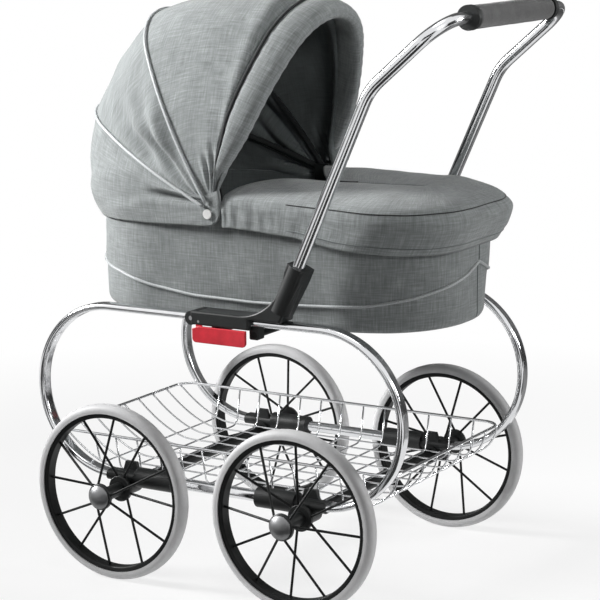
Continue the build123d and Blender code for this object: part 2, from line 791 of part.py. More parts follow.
def make_lever(side):
    with BuildPart() as lever:
        with BuildSketch(side_plane(side * lever_y)):
            with BuildLine():
                Polyline(
                    (lever_front_x, lever_top_z - lever_height),
                    (lever_rear_x, lever_top_z - lever_height),
                    (lever_rear_x, lever_top_z),
                    (lever_pivot_x, lever_top_z),
                    (lever_front_x, lever_top_z - lever_relief),
                    close=True,
                )
            make_face()
            fillet(vertices().group_by(Axis.Y)[0], lever_corner)
        extrude(amount=lever_thickness / 2, both=True)
        fillet(lever.faces().filter_by(Axis.Y).edges(), lever_thickness / 4)
        with BuildSketch(side_plane(side * lever_y)):
            with Locations((lever_pivot_x, lever_pivot_z)):
                Circle(lever_eye_radius)
                with Locations((0, (lever_top_z - lever_pivot_z) / 2 - 1)):
                    Rectangle(2 * lever_eye_radius, lever_pivot_z - lever_top_z + 2)
        extrude(amount=lever_eye_width / 2, both=True)
        with Locations((lever_pivot_x, side * lever_y, lever_pivot_z)):
            Cylinder(lever_pin_diameter / 2 + running_clearance, 2 * lever_thickness, rotation=(90, 0, 0),
                     mode=Mode.SUBTRACT)
    return lever


for side_name, side in SIDES.items():
    keep(make_moulding(side), f"hinge_moulding_{side_name}")
    keep(make_lever(side), f"release_lever_{side_name}")

with BuildPart() as lever_pins:
    for side in SIDES.values():
        with BuildSketch(side_plane(side * lever_y)):
            with Locations((lever_pivot_x, lever_pivot_z)):
                Circle(lever_pin_diameter / 2)
        extrude(amount=lever_thickness / 2, both=True)
keep(lever_pins, "lever_pins")

# Handle tube, grip and grip end rings

with BuildPart() as handle_tube:
    with BuildLine() as handle_route:
        FilletPolyline(
            (tube_foot[0], handle_y, tube_foot[1]),
            (handle_bend_x, handle_y, handle_bend_z),
            (handle_bar_x, handle_y, handle_bar_z),
            (handle_bar_x, -handle_y, handle_bar_z),
            (handle_bend_x, -handle_y, handle_bend_z),
            (tube_foot[0], -handle_y, tube_foot[1]),
            radius=[handle_bend_radius, handle_corner_radius, handle_corner_radius, handle_bend_radius],
        )
    with BuildSketch(Plane(origin=(tube_foot[0], handle_y, tube_foot[1]),
                           z_dir=(sin(handle_lean), 0, cos(handle_lean)))):
        Circle(handle_diameter / 2)
        Circle(handle_diameter / 2 - handle_wall, mode=Mode.SUBTRACT)
    sweep(path=handle_route.line)
keep(handle_tube, "handle_tube")

with BuildPart() as grip:
    with BuildSketch(side_plane(grip_length / 2)):
        with Locations((handle_bar_x, handle_bar_z)):
            Circle(grip_diameter / 2)
            Circle(handle_diameter / 2, mode=Mode.SUBTRACT)
    extrude(amount=grip_length)
keep(grip, "grip")

with BuildPart() as grip_rings:
    for side in SIDES.values():
        with BuildSketch(outward_plane(side, grip_length / 2)):
            with Locations((-side * handle_bar_x, handle_bar_z)):
                Circle(grip_ring_diameter / 2)
                Circle(handle_diameter / 2, mode=Mode.SUBTRACT)
        extrude(amount=grip_ring_length)
keep(grip_rings, "grip_rings")

# Bassinet


def cot_section(z, share, inset):
    """Plan of the bassinet at height z, a share of the way from bottom to rim, drawn in by inset."""
    head_x = cot_bottom_head_x + share * (cot_top_head_x - cot_bottom_head_x) + inset
    foot_x = cot_bottom_foot_x + share * (cot_top_foot_x - cot_bottom_foot_x) - inset
    half_width = cot_bottom_half_width + share * (cot_top_half_width - cot_bottom_half_width) - inset
    head_corner = cot_bottom_corner + share * (cot_top_head_corner - cot_bottom_corner) - inset
    foot_corner = cot_bottom_corner + share * (cot_top_foot_corner - cot_bottom_corner) - inset
    with BuildSketch(Plane.XY.offset(z)) as section:
        cot_outline(head_x, foot_x, half_width, head_corner, foot_corner)
    return section.sketch


cot_inside_z = cot_floor_z + cot_wall
cot_turn_z = cot_floor_z + cot_turn_height
with BuildPart() as cot_inside:
    cot_inner_sections = [
        cot_section(cot_inside_z, 0, cot_turn_inset + cot_wall),
        cot_section(cot_turn_z, 0, cot_wall),
        cot_section(cot_rim_z, 1, cot_wall),
    ]
    loft(cot_inner_sections, ruled=True)

with BuildPart() as bassinet_shell:
    cot_outer_sections = [
        cot_section(cot_floor_z, 0, cot_turn_inset),
        cot_section(cot_turn_z, 0, 0),
        cot_section(cot_rim_z, 1, 0),
    ]
    loft(cot_outer_sections, ruled=True)
    add(cot_inside.part, mode=Mode.SUBTRACT)
keep(bassinet_shell, "bassinet_shell")

with BuildPart() as base_board:
    extrude(cot_section(cot_inside_z, 0, cot_wall + board_inset), amount=board_thickness)
keep(base_board, "base_board")

mattress_foot_z = board_top_z + slip_clearance
with BuildPart() as mattress:
    mattress_sections = [
        cot_section(mattress_foot_z, 0, cot_wall + mattress_tuck_inset),
        cot_section(mattress_foot_z + mattress_thickness / 2, 0, cot_wall + mattress_inset),
        cot_section(mattress_foot_z + mattress_thickness, 0, cot_wall + mattress_crown_inset),
    ]
    loft(mattress_sections, ruled=True)
keep(mattress, "mattress")


def apron_section(z, foot_x, inset, front_x):
    """Plan of the foot apron at height z: square at the front edge, rounded at the foot."""
    with BuildSketch(Plane.XY.offset(z)) as section:
        with Locations(((front_x + foot_x - inset) / 2, 0)):
            Rectangle(foot_x - inset - front_x, 2 * (apron_half_width - inset))
        fillet(vertices().group_by(Axis.X)[-1], apron_corner - inset)
    return section.sketch


apron_under_z = cot_rim_z + slip_clearance
with BuildPart() as apron_inside:
    apron_inner_sections = [
        apron_section(apron_hem_z, apron_hem_foot_x, apron_cloth, apron_front_x - cot_wall),
        apron_section(apron_under_z, apron_top_foot_x, apron_cloth, apron_front_x - cot_wall),
    ]
    loft(apron_inner_sections, ruled=True)

with BuildPart() as apron:
    apron_outer_sections = [
        apron_section(apron_hem_z, apron_hem_foot_x, 0, apron_front_x),
        apron_section(apron_top_z, apron_top_foot_x, 0, apron_front_x),
        apron_section(apron_top_z + apron_crown, apron_top_foot_x, apron_crown_inset, apron_front_x),
    ]
    loft(apron_outer_sections, ruled=True)
    add(apron_inside.part, mode=Mode.SUBTRACT)
keep(apron, "apron")

# Hood: three bows on one axis, cloth between them and a padded roll round the opening

stud_hole = stud_diameter / 2 + running_clearance
under_cloth = hood_cloth + bow_drop


def make_bow(angle, span, height):
    with BuildPart() as bow:
        band = arch_band(hood_plane(angle), span + bow_thickness, height, bow_crown, bow_thickness, 0)
        extrude(band, amount=bow_width / 2, both=True)
        for side in SIDES.values():
            with BuildSketch(outward_plane(side, span)):
                with Locations((-side * hood_pivot_x, hood_pivot_z)):
                    Circle(bow_eye_radius)
            extrude(amount=bow_thickness)
        with Locations((hood_pivot_x, 0, hood_pivot_z)):
            Cylinder(stud_hole, 4 * span, rotation=(90, 0, 0), mode=Mode.SUBTRACT)
    return bow


keep(make_bow(hood_rear_angle, bow_span["rear"], hood_rear_height - under_cloth), "hood_rear_bow")
keep(make_bow(hood_mid_angle, bow_span["mid"], hood_mid_height - under_cloth), "hood_mid_bow")
front_bow = make_bow(hood_front_angle, bow_span["front"], bow_front_height)
keep(front_bow, "hood_front_bow")

with BuildPart() as roll_body:
    roll_plane = hood_plane(hood_front_angle)
    roll_band = arch_band(roll_plane, roll_half_width, roll_height, hood_crown, roll_thickness, roll_foot)
    extrude(roll_band, amount=roll_width / 2, both=True)
    fillet(roll_body.edges().filter_by(GeomType.CIRCLE), roll_round)
    # The roll's rear side narrows towards its feet, where it meets the middle bow of the folded hood
    nest_plane = hood_plane(hood_mid_angle - hood_front_travel).offset(bow_width / 2 + panel_gap)
    split(bisect_by=nest_plane, keep=Keep.TOP)

with BuildPart() as hood_roll:
    add(roll_body.part)
    add(front_bow.part, mode=Mode.SUBTRACT)
keep(hood_roll, "hood_roll")


def hood_section(angle, height):
    """Cloth of the hood where it crosses the plane at an angle."""
    return arch_band(hood_plane(angle), hood_half_width, height, hood_crown, hood_cloth, hood_foot)


hem_plane = fan_plane(curtain_front_x, curtain_hem_z, 180 + curtain_hem_tilt)
waist_plane = fan_plane(curtain_front_x, hood_pivot_z, 180)
curtain_hem_reach = curtain_front_x - curtain_hem_back_x
curtain_reach = curtain_front_x - curtain_back_x
with BuildPart() as hood_curtain:
    curtain_sections = [
        arch_band(hem_plane, hood_half_width, curtain_hem_reach, curtain_crown, hood_cloth, 0),
        arch_band(waist_plane, hood_half_width, curtain_reach, curtain_crown, hood_cloth, 0),
        hood_section(hood_rear_angle, hood_rear_height),
    ]
    loft(curtain_sections, ruled=True)
keep(hood_curtain, "hood_curtain")

with BuildPart() as hood_panel_rear:
    rear_panel_sections = [
        hood_section(hood_rear_angle, hood_rear_height),
        hood_section((hood_rear_angle + hood_mid_angle) / 2, hood_rear_panel_height),
        hood_section(hood_mid_angle, hood_mid_height),
    ]
    loft(rear_panel_sections)
keep(hood_panel_rear, "hood_panel_rear")

front_edge_plane = hood_plane(hood_front_angle + hood_front_tuck)
with BuildPart() as hood_panel_main:
    main_panel_sections = [
        hood_section(hood_mid_angle, hood_mid_height),
        hood_section((hood_mid_angle + hood_front_angle) / 2, hood_main_panel_height),
        arch_band(front_edge_plane, hood_half_width, hood_front_height, hood_crown, hood_cloth, hood_foot),
    ]
    loft(main_panel_sections)
    add(roll_body.part, mode=Mode.SUBTRACT)
keep(hood_panel_main, "hood_panel_main")

# Hood pivots inside the bassinet rim, and the snaps on the hood's lower corners

plate_y = cot_top_half_width - cot_wall - 2
with BuildPart() as hood_pivots:
    for side in SIDES.values():
        plate_inner = plate_y - stud_plate_thickness
        with BuildSketch(outward_plane(side, plate_inner)):
            with Locations((-side * hood_pivot_x, (stud_plate_foot_z + hood_pivot_z + stud_plate_rise) / 2)):
                Rectangle(stud_plate_length, hood_pivot_z + stud_plate_rise - stud_plate_foot_z)
        extrude(amount=stud_plate_thickness)
        with BuildSketch(outward_plane(side, plate_y)):
            with Locations((-side * hood_pivot_x, hood_pivot_z)):
                Circle(stud_diameter / 2)
        extrude(amount=hood_half_width - under_cloth - plate_y)
keep(hood_pivots, "hood_pivots")

with BuildPart() as snap_buttons:
    for side in SIDES.values():
        with BuildSketch(outward_plane(side, hood_half_width)):
            with Locations((-side * snap_x, snap_z)):
                Circle(snap_diameter / 2)
        extrude(amount=snap_height)
keep(snap_buttons, "snap_buttons")
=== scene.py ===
"""Doll pram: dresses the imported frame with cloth, chrome, wire and moulded pieces."""

import json
import logging
import math
from dataclasses import dataclass, field
from enum import Enum
from typing import Callable, Iterable, Sequence

import bmesh
import bpy
import numpy as np
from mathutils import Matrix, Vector

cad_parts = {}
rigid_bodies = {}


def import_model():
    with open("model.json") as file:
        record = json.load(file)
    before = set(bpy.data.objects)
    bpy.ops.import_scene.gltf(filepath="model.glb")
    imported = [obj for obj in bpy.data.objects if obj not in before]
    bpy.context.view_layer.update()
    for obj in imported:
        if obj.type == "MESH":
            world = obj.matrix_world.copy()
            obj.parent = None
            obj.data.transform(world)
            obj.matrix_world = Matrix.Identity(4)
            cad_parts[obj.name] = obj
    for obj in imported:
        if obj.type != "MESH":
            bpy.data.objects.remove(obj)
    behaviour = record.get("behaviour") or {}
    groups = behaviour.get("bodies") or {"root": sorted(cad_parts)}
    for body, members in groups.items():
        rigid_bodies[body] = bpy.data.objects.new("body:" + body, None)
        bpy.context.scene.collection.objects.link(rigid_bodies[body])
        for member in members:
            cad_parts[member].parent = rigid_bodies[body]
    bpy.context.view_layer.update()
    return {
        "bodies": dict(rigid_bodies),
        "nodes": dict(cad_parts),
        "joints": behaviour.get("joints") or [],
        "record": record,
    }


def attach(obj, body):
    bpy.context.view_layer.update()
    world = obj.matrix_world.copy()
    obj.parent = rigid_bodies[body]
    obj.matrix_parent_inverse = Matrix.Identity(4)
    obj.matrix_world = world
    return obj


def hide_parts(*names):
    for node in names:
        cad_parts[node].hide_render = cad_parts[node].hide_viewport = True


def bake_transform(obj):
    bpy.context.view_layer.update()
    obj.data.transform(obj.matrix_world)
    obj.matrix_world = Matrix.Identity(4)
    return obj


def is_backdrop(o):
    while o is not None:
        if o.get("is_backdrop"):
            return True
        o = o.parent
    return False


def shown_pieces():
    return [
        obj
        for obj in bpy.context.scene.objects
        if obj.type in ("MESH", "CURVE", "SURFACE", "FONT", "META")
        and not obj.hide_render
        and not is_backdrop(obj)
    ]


LOG = logging.getLogger("doll_pram")
WAVE_METRE = 0.314  # Scale of a wave node whose bands are one metre wide.

Material = bpy.types.Material
Piece = bpy.types.Object
Socket = bpy.types.NodeSocket
Point = tuple[float, float, float]
Flat = list[tuple[float, float]]
Row = list[Vector]


class Side(Enum):
    """The pram's own left and right, with the sign of their Y."""

    LEFT = -1
    RIGHT = 1


class End(Enum):
    """Front and rear axle, with the sign of their X."""

    FRONT = -1
    REAR = 1


class Slot(Enum):
    """Material slots of the pieces."""

    CLOTH = "grey_cloth"
    BED = "bed_cloth"
    FOAM = "grip_foam"
    CHROME = "chrome"
    STEEL = "steel"


def corners() -> list[tuple[End, Side, str]]:
    """Both ends of both axles, with the words for their pieces' names."""
    return [(end, side, f"{end.name.lower()}_{side.name.lower()}") for end in End for side in Side]


# Materials


def set_sockets(node: bpy.types.Node, **values: object) -> bpy.types.Node:
    """Set plain values on a node's sockets.

    Args:
        node: The node.
        values: Socket names, with underscores for spaces.

    Returns:
        The same node.
    """
    for name, value in values.items():
        node.inputs[name.replace("_", " ")].default_value = value
    return node


@dataclass(frozen=True)
class Noise:
    """Settings of one noise: cells per metre, octaves and the strength of the fine ones."""

    scale: float
    detail: float = 2.0
    rough: float = 0.5


class Nodes:
    """A small builder for one material's node tree."""

    def __init__(self, name: str) -> None:
        """Start a material with a shader and an output.

        Args:
            name: Name of the material.
        """
        self.material = bpy.data.materials.new(name)
        self.material.use_nodes = True
        self.tree = self.material.node_tree
        self.tree.nodes.clear()
        self.shader = self.add("BsdfPrincipled")
        self.output = self.add("OutputMaterial")
        self.link(self.shader.outputs["BSDF"], self.output.inputs["Surface"])

    def add(self, kind: str, **values: object) -> bpy.types.Node:
        """Add a node of a kind and set its sockets."""
        return set_sockets(self.tree.nodes.new(f"ShaderNode{kind}"), **values)

    def link(self, source: Socket, target: Socket) -> None:
        """Join two sockets."""
        self.tree.links.new(source, target)

    def feed(self, name: str, value: Socket) -> None:
        """Lead a value to one of the shader's sockets."""
        self.link(value, self.shader.inputs[name])

    def through(self, kind: str, source: Socket, ends: str, **values: object) -> Socket:
        """Lead a value through a new node.

        Args:
            kind: Type of the node.
            source: The value that goes in.
            ends: Names of the node's input and output, with a slash between them.
            values: Its other sockets, with underscores for spaces.

        Returns:
            The socket that comes out.
        """
        node = self.add(kind, **values)
        way_in, way_out = ends.split("/")
        self.link(source, node.inputs[way_in])
        return node.outputs[way_out]

    def coords(self, kind: str = "Object", scale: Point = (1.0, 1.0, 1.0)) -> Socket:
        """Texture coordinates of a kind, such as Object or UV, stretched by scale."""
        source = self.add("TexCoord").outputs[kind]
        return self.through("Mapping", source, "Vector/Vector", Scale=scale)

    def noise(self, vector: Socket, noise: Noise) -> Socket:
        """Value of a noise at the coordinates."""
        return self.through("TexNoise", vector, "Vector/Fac", Scale=noise.scale,
                            Detail=noise.detail, Roughness=noise.rough)

    def wave(self, scale: float, direction: str, wander: float) -> Socket:
        """Sine bands along one direction of the cloth.

        Args:
            scale: Bands setting of the wave node.
            direction: X or Y.
            wander: How much the bands wander.

        Returns:
            The value socket.
        """
        bands = self.through("TexWave", self.coords("UV"), "Vector/Fac", Scale=scale,
                             Distortion=wander, Detail=1.0)
        bands.node.wave_type = "BANDS"
        bands.node.bands_direction = direction
        return bands

    def math(self, kind: str, first: Socket, second: Socket | float) -> Socket:
        """One Math node.

        Args:
            kind: Operation, such as MULTIPLY.
            first: Socket.
            second: Socket or number.

        Returns:
            The value socket.
        """
        node = self.add("Math")
        node.operation = kind
        self.link(first, node.inputs[0])
        if isinstance(second, float):
            node.inputs[1].default_value = second
        else:
            self.link(second, node.inputs[1])
        return node.outputs["Value"]

    def total(self, first: Socket, weight: float, second: Socket, other: float) -> Socket:
        """Sum of two values, each by its weight."""
        parts = self.math("MULTIPLY", first, weight), self.math("MULTIPLY", second, other)
        return self.math("ADD", *parts)

    def ramp(self, value: Socket, *stops: tuple[float, Point]) -> Socket:
        """Colour ramp over a value.

        Args:
            value: Socket from 0 to 1.
            stops: Position and colour of each stop.

        Returns:
            The colour socket.
        """
        node = self.add("ValToRGB")
        elements = node.color_ramp.elements
        while len(elements) < len(stops):
            elements.new(0.5)
        for element, (position, colour) in zip(elements, stops):
            element.position = position
            element.color = (*colour, 1.0)
        self.link(value, node.inputs["Fac"])
        return node.outputs["Color"]

    def span(self, value: Socket, low: float, high: float) -> Socket:
        """Map a value from 0..1 to low..high."""
        return self.through("MapRange", value, "Value/Result", To_Min=low, To_Max=high)

    def bump(self, height: Socket, strength: float, distance: float) -> None:
        """Bend the shading by a height whose full step is a distance in metres."""
        bent = self.through("Bump", height, "Height/Normal", Strength=strength, Distance=distance)
        self.feed("Normal", bent)


def grey(value: float, cool: float = 1.0) -> Point:
    """A neutral colour, cooler where cool is above 1."""
    return (value, value * cool, value * cool)


@dataclass(frozen=True)
class SlubCloth:
    """Woven melange cloth with uneven yarns along both directions, on UVs in metres."""

    name: str
    dark: float = 0.125
    mid: float = 0.225
    light: float = 0.36
    cool: float = 1.07
    thread: float = 0.0011
    yarn_across: float = 560.0
    yarn_along: float = 38.0
    warp_share: float = 0.44
    weft_share: float = 0.40
    patch: Noise = Noise(38.0, 3.0, 0.55)
    patch_share: float = 0.16
    slub: Noise = Noise(1.0, 3.0, 0.6)
    slub_height: float = 0.9
    wander: float = 0.6
    depth: float = 0.45
    height: float = 0.0006

    def make(self) -> Material:
        """Build the material.

        Returns:
            The cloth material.
        """
        n = Nodes(self.name)
        warp = n.noise(n.coords("UV", (self.yarn_across, self.yarn_along, 1.0)), self.slub)
        weft = n.noise(n.coords("UV", (self.yarn_along, self.yarn_across, 1.0)), self.slub)
        yarn = n.total(warp, self.warp_share, weft, self.weft_share)
        patch = n.noise(n.coords("UV"), self.patch)
        tone = n.total(yarn, 1.0, patch, self.patch_share)
        shades = zip((0.30, 0.50, 0.70), (self.dark, self.mid, self.light))
        n.feed("Base Color", n.ramp(tone, *((at, grey(shade, self.cool)) for at, shade in shades)))
        over, under = (n.wave(WAVE_METRE / self.thread, axis, self.wander) for axis in "XY")
        weave = n.total(n.math("MULTIPLY", over, under), 1.0, yarn, self.slub_height)
        n.bump(weave, self.depth, self.height)
        n.feed("Roughness", n.span(tone, 0.94, 0.80))
        set_sockets(n.shader, Sheen_Weight=0.25, Sheen_Roughness=0.45, Specular_IOR_Level=0.25)
        return n.material


@dataclass(frozen=True)
class Grained:
    """A finish whose tone, gloss and grain follow a wide and a fine noise."""

    name: str
    dark: Point
    light: Point
    rough: tuple[float, float]
    wide: Noise
    fine: Noise
    depth: float
    height: float = 0.0004
    contrast: float = 0.2
    tone_wide: float = 1.0
    gloss_wide: float = 1.0
    sockets: tuple[tuple[str, float], ...] = ()

    def make(self) -> Material:
        """Build the material.

        Returns:
            The finished material.
        """
        n = Nodes(self.name)
        wide, fine = n.noise(n.coords(), self.wide), n.noise(n.coords(), self.fine)
        tone = n.total(wide, self.tone_wide, fine, 1 - self.tone_wide)
        gloss = n.total(wide, self.gloss_wide, fine, 1 - self.gloss_wide)
        stops = (0.5 - self.contrast, self.dark), (0.5 + self.contrast, self.light)
        n.feed("Base Color", n.ramp(tone, *stops))
        n.feed("Roughness", n.span(gloss, *self.rough))
        n.bump(fine, self.depth, self.height)
        set_sockets(n.shader, **dict(self.sockets))
        return n.material


def plated(name: str, tone: float, rough: float) -> Material:
    """Plated metal with faint polishing marks and a few dull specks.

    Args:
        name: Name of the material.
        tone: Its grey.
        rough: Its roughness.

    Returns:
        The metal.
    """
    dark = (tone * 0.95, tone * 0.96, tone * 0.98)
    light = (tone, tone * 1.01, tone * 1.025)
    return Grained(name, dark, light, (rough * 0.5, rough * 1.8), Noise(30.0, 3.0, 0.6),
                   Noise(1400.0, 1.0), 0.03, 0.0002, 0.15, gloss_wide=0.7,
                   sockets=(("Metallic", 1.0),)).make()


def moulded(name: str, colour: Point, rough: float, grain: float, depth: float, coat: float = 0.0,
            shine: float = 0.32) -> Material:
    """Moulded or painted piece with a fine grain and a slightly worn tone.

    Args:
        name: Name of the material.
        colour: Its colour.
        rough: Its roughness.
        grain: Grains per metre.
        depth: Strength of the grain.
        coat: Weight of the clear coat.
        shine: Specular level.

    Returns:
        The plastic or paint.
    """
    dark, light = (tuple(part * share for part in colour) for share in (0.82, 1.15))
    sockets = ("Coat_Weight", coat), ("Coat_Roughness", 0.12), ("Specular_IOR_Level", shine)
    return Grained(name, dark, light, (rough - 0.07, rough + 0.08), Noise(45.0, 3.0, 0.6),
                   Noise(grain), depth, sockets=sockets).make()


class Palette:
    """Every finish of the pram, made once."""

    def __init__(self) -> None:
        """Make the materials."""
        self.cloth = SlubCloth("grey_melange").make()
        self.lining = SlubCloth("charcoal_lining", 0.092, 0.126, 0.160, 1.12).make()
        self.bed = SlubCloth("bed_cloth", 0.16, 0.26, 0.36).make()
        self.shadow_cord = SlubCloth("shadow_cord", 0.014, 0.024, 0.036).make()
        self.piping = Grained("silver_piping", (0.28, 0.295, 0.30), (0.44, 0.46, 0.465),
                              (0.36, 0.55), Noise(30.0), Noise(900.0), 0.25, tone_wide=0.0,
                              gloss_wide=0.0, sockets=(("Sheen_Weight", 0.2),)).make()
        self.chrome = plated("bright_chrome", 0.78, 0.13)
        self.wire = plated("plated_wire", 0.74, 0.14)
        self.steel = plated("axle_steel", 0.52, 0.28)
        self.pewter = plated("cap_pewter", 0.22, 0.36)
        self.black = moulded("black_moulding", grey(0.017, 1.08), 0.42, 1800.0, 0.14)
        self.enamel = moulded("black_paint", grey(0.010, 1.08), 0.42, 900.0, 0.04, shine=0.18)
        self.red = moulded("lever_red", (0.69, 0.034, 0.052), 0.34, 1600.0, 0.05, 0.25)
        self.board = moulded("base_board", (0.36, 0.27, 0.18), 0.7, 300.0, 0.2)
        self.bow = moulded("bow_charcoal", grey(0.034, 1.10), 0.62, 700.0, 0.12)
        self.white = moulded("snap_white", (0.78, 0.78, 0.77), 0.32, 1200.0, 0.04, 0.2)
        foam = 0.075
        sockets = ("Sheen_Weight", 0.25), ("Specular_IOR_Level", 0.3)
        self.foam = Grained("grip_foam", grey(foam * 0.7), grey(foam * 1.5, 1.01), (0.72, 0.95),
                            Noise(60.0), Noise(1100.0, 4.0, 0.7), 0.5, 0.0008, 0.15,
                            tone_wide=0.4, gloss_wide=0.0, sockets=sockets).make()
        self.tyre = Grained("pale_tyre", (0.50, 0.50, 0.505), (0.63, 0.63, 0.635), (0.48, 0.66),
                            Noise(26.0, 4.0, 0.65), Noise(700.0), 0.12, tone_wide=0.75).make()


# Shapes


def soft_noise(x: float, y: float, seed: float) -> float:
    """A smooth wandering value between about -1 and 1."""
    return (math.sin(1.7 * x + 2.3 * y + seed) + math.sin(2.9 * x - 1.3 * y + 1.7 * seed) * 0.6
            + math.sin(4.1 * x + 3.7 * y + 2.9 * seed) * 0.35) / 1.95


@dataclass(frozen=True)
class Fold:
    """One soft fold: its size, and its centre and width as shares of the cloth."""

    size: float
    centre: float
    width: float

    def at(self, share: float) -> float:
        """Height of the fold at a share."""
        return self.size * math.exp(-((share - self.centre) / self.width) ** 2)


def clamp(value: float) -> float:
    """The value kept between 0 and 1."""
    return min(1.0, max(0.0, value))


def ease(value: float) -> float:
    """A quarter sine wave from 0 to 1, level from there on."""
    return math.sin(min(1.0, value) * math.pi / 2)


def arc(x: float, y: float, radius: float, start: float, turn: float, count: int) -> Flat:
    """Points on an arc about (x, y), with its first angle and its turn in degrees."""
    angles = np.radians(np.linspace(start, start + turn, count))
    return [(x + radius * math.cos(a), y + radius * math.sin(a)) for a in angles]


def circle(radius: float, count: int) -> Flat:
    """Points round a circle about the origin."""
    return arc(0.0, 0.0, radius, 0.0, 360.0, count + 1)[:-1]


def evenly(line: Flat, count: int, closed: bool = False) -> Flat:
    """Space points evenly along a flat line.

    Args:
        line: Corner points of the line.
        count: Number of points.
        closed: True where the line ends at its start.

    Returns:
        The points.
    """
    dense = np.array(line)
    steps = np.concatenate([[0], np.cumsum(np.hypot(*np.diff(dense, axis=0).T))])
    at = np.linspace(0, steps[-1], count, endpoint=not closed)
    return list(zip(*(np.interp(at, steps, dense[:, axis]) for axis in (0, 1))))


def mesh_object(name: str, verts: Sequence[Sequence[float]], faces: Sequence[Sequence[int]],
                uvs: Sequence[Sequence[float]] | None = None) -> Piece:
    """Make a smooth-shaded mesh object.

    Args:
        name: Name of the piece.
        verts: Points in metres.
        faces: Faces as lists of point numbers.
        uvs: One UV for each point, in metres along the cloth.

    Returns:
        The new object.
    """
    mesh = bpy.data.meshes.new(name)
    mesh.from_pydata([tuple(v) for v in verts], [], [tuple(f) for f in faces])
    if uvs is not None:
        layer = mesh.uv_layers.new(name="cloth")
        for loop in mesh.loops:
            layer.data[loop.index].uv = uvs[loop.vertex_index]
    mesh.shade_smooth()
    piece = bpy.data.objects.new(name, mesh)
    bpy.context.scene.collection.objects.link(piece)
    return piece


def grid_faces(rows: int, width: int, closed_rows: bool, closed: bool) -> list[tuple[int, ...]]:
    """Four-sided faces between rows of points.

    Args:
        rows: Number of rows.
        width: Points in each row.
        closed_rows: True where the last row joins the first.
        closed: True where the end of a row joins its start.

    Returns:
        The faces.
    """
    faces = []
    for j in range(rows if closed_rows else rows - 1):
        m = (j + 1) % rows
        for i in range(width if closed else width - 1):
            k = (i + 1) % width
            faces.append((j * width + i, j * width + k, m * width + k, m * width + i))
    return faces


def grid_object(name: str, rows: Sequence[Row], closed: bool = False, grain: bool = False) -> Piece:
    """Make a sheet from rows of points, with UVs that measure the cloth in metres.

    Args:
        name: Name of the piece.
        rows: Rows of equally many points.
        closed: True where the end of a row joins its start.
        grain: True where the yarns run straight along X, also where the rows draw together.

    Returns:
        The sheet.
    """
    width = len(rows[0])
    middle = rows[len(rows) // 2]
    along, across = [0.0], [0.0]
    for a, b in zip(middle, middle[1:]):
        along.append(along[-1] + (b - a).length)
    for a, b in zip(rows, rows[1:]):
        across.append(across[-1] + sum((p - q).length for p, q in zip(a, b)) / width)
    uvs = [(u, p.x if grain else v) for row, v in zip(rows, across) for p, u in zip(row, along)]
    faces = grid_faces(len(rows), width, False, closed)
    return mesh_object(name, [p for row in rows for p in row], faces, uvs)


def settle_normals(piece: Piece) -> Piece:
    """Turn every face of a closed piece outwards.

    Args:
        piece: The closed piece.

    Returns:
        The same object.
    """
    shell = bmesh.new()
    shell.from_mesh(piece.data)
    bmesh.ops.recalc_face_normals(shell, faces=shell.faces)
    shell.to_mesh(piece.data)
    shell.free()
    return piece


def tube_object(name: str, path: Sequence[Vector], radius: float, sides: int,
                closed: bool = False) -> Piece:
    """Sweep a round section along a path.

    Args:
        name: Name of the piece.
        path: Points of the middle line.
        radius: Radius of the section.
        sides: Points round the section.
        closed: True where the path is a loop.

    Returns:
        The tube.
    """
    count = len(path)
    tangents = []
    for i in range(count):
        before = path[i - 1] if closed or i else path[i]
        after = path[(i + 1) % count] if closed or i < count - 1 else path[i]
        tangents.append((after - before).normalized())
    normal = tangents[0].orthogonal().normalized()
    verts = []
    for point, tangent in zip(path, tangents):
        normal = (normal - tangent * normal.dot(tangent)).normalized()
        other = tangent.cross(normal)
        verts += [point + u * normal + v * other for u, v in circle(radius, sides)]
    faces = grid_faces(count, sides, closed, True)
    if not closed:
        faces.append(tuple(range(sides))[::-1])
        faces.append(tuple((count - 1) * sides + i for i in range(sides)))
    return settle_normals(mesh_object(name, verts, faces))


def join(name: str, pieces: Sequence[Piece]) -> Piece:
    """Join mesh objects into one.

    Args:
        name: Name of the joined piece.
        pieces: Objects to join.

    Returns:
        The joined object.
    """
    verts: list[Vector] = []
    faces: list[list[int]] = []
    for piece in pieces:
        start = len(verts)
        verts.extend(v.co.copy() for v in piece.data.vertices)
        faces.extend([start + i for i in p.vertices] for p in piece.data.polygons)
        mesh = piece.data
        bpy.data.objects.remove(piece)
        bpy.data.meshes.remove(mesh)
    return mesh_object(name, verts, faces)


# Sub-assemblies


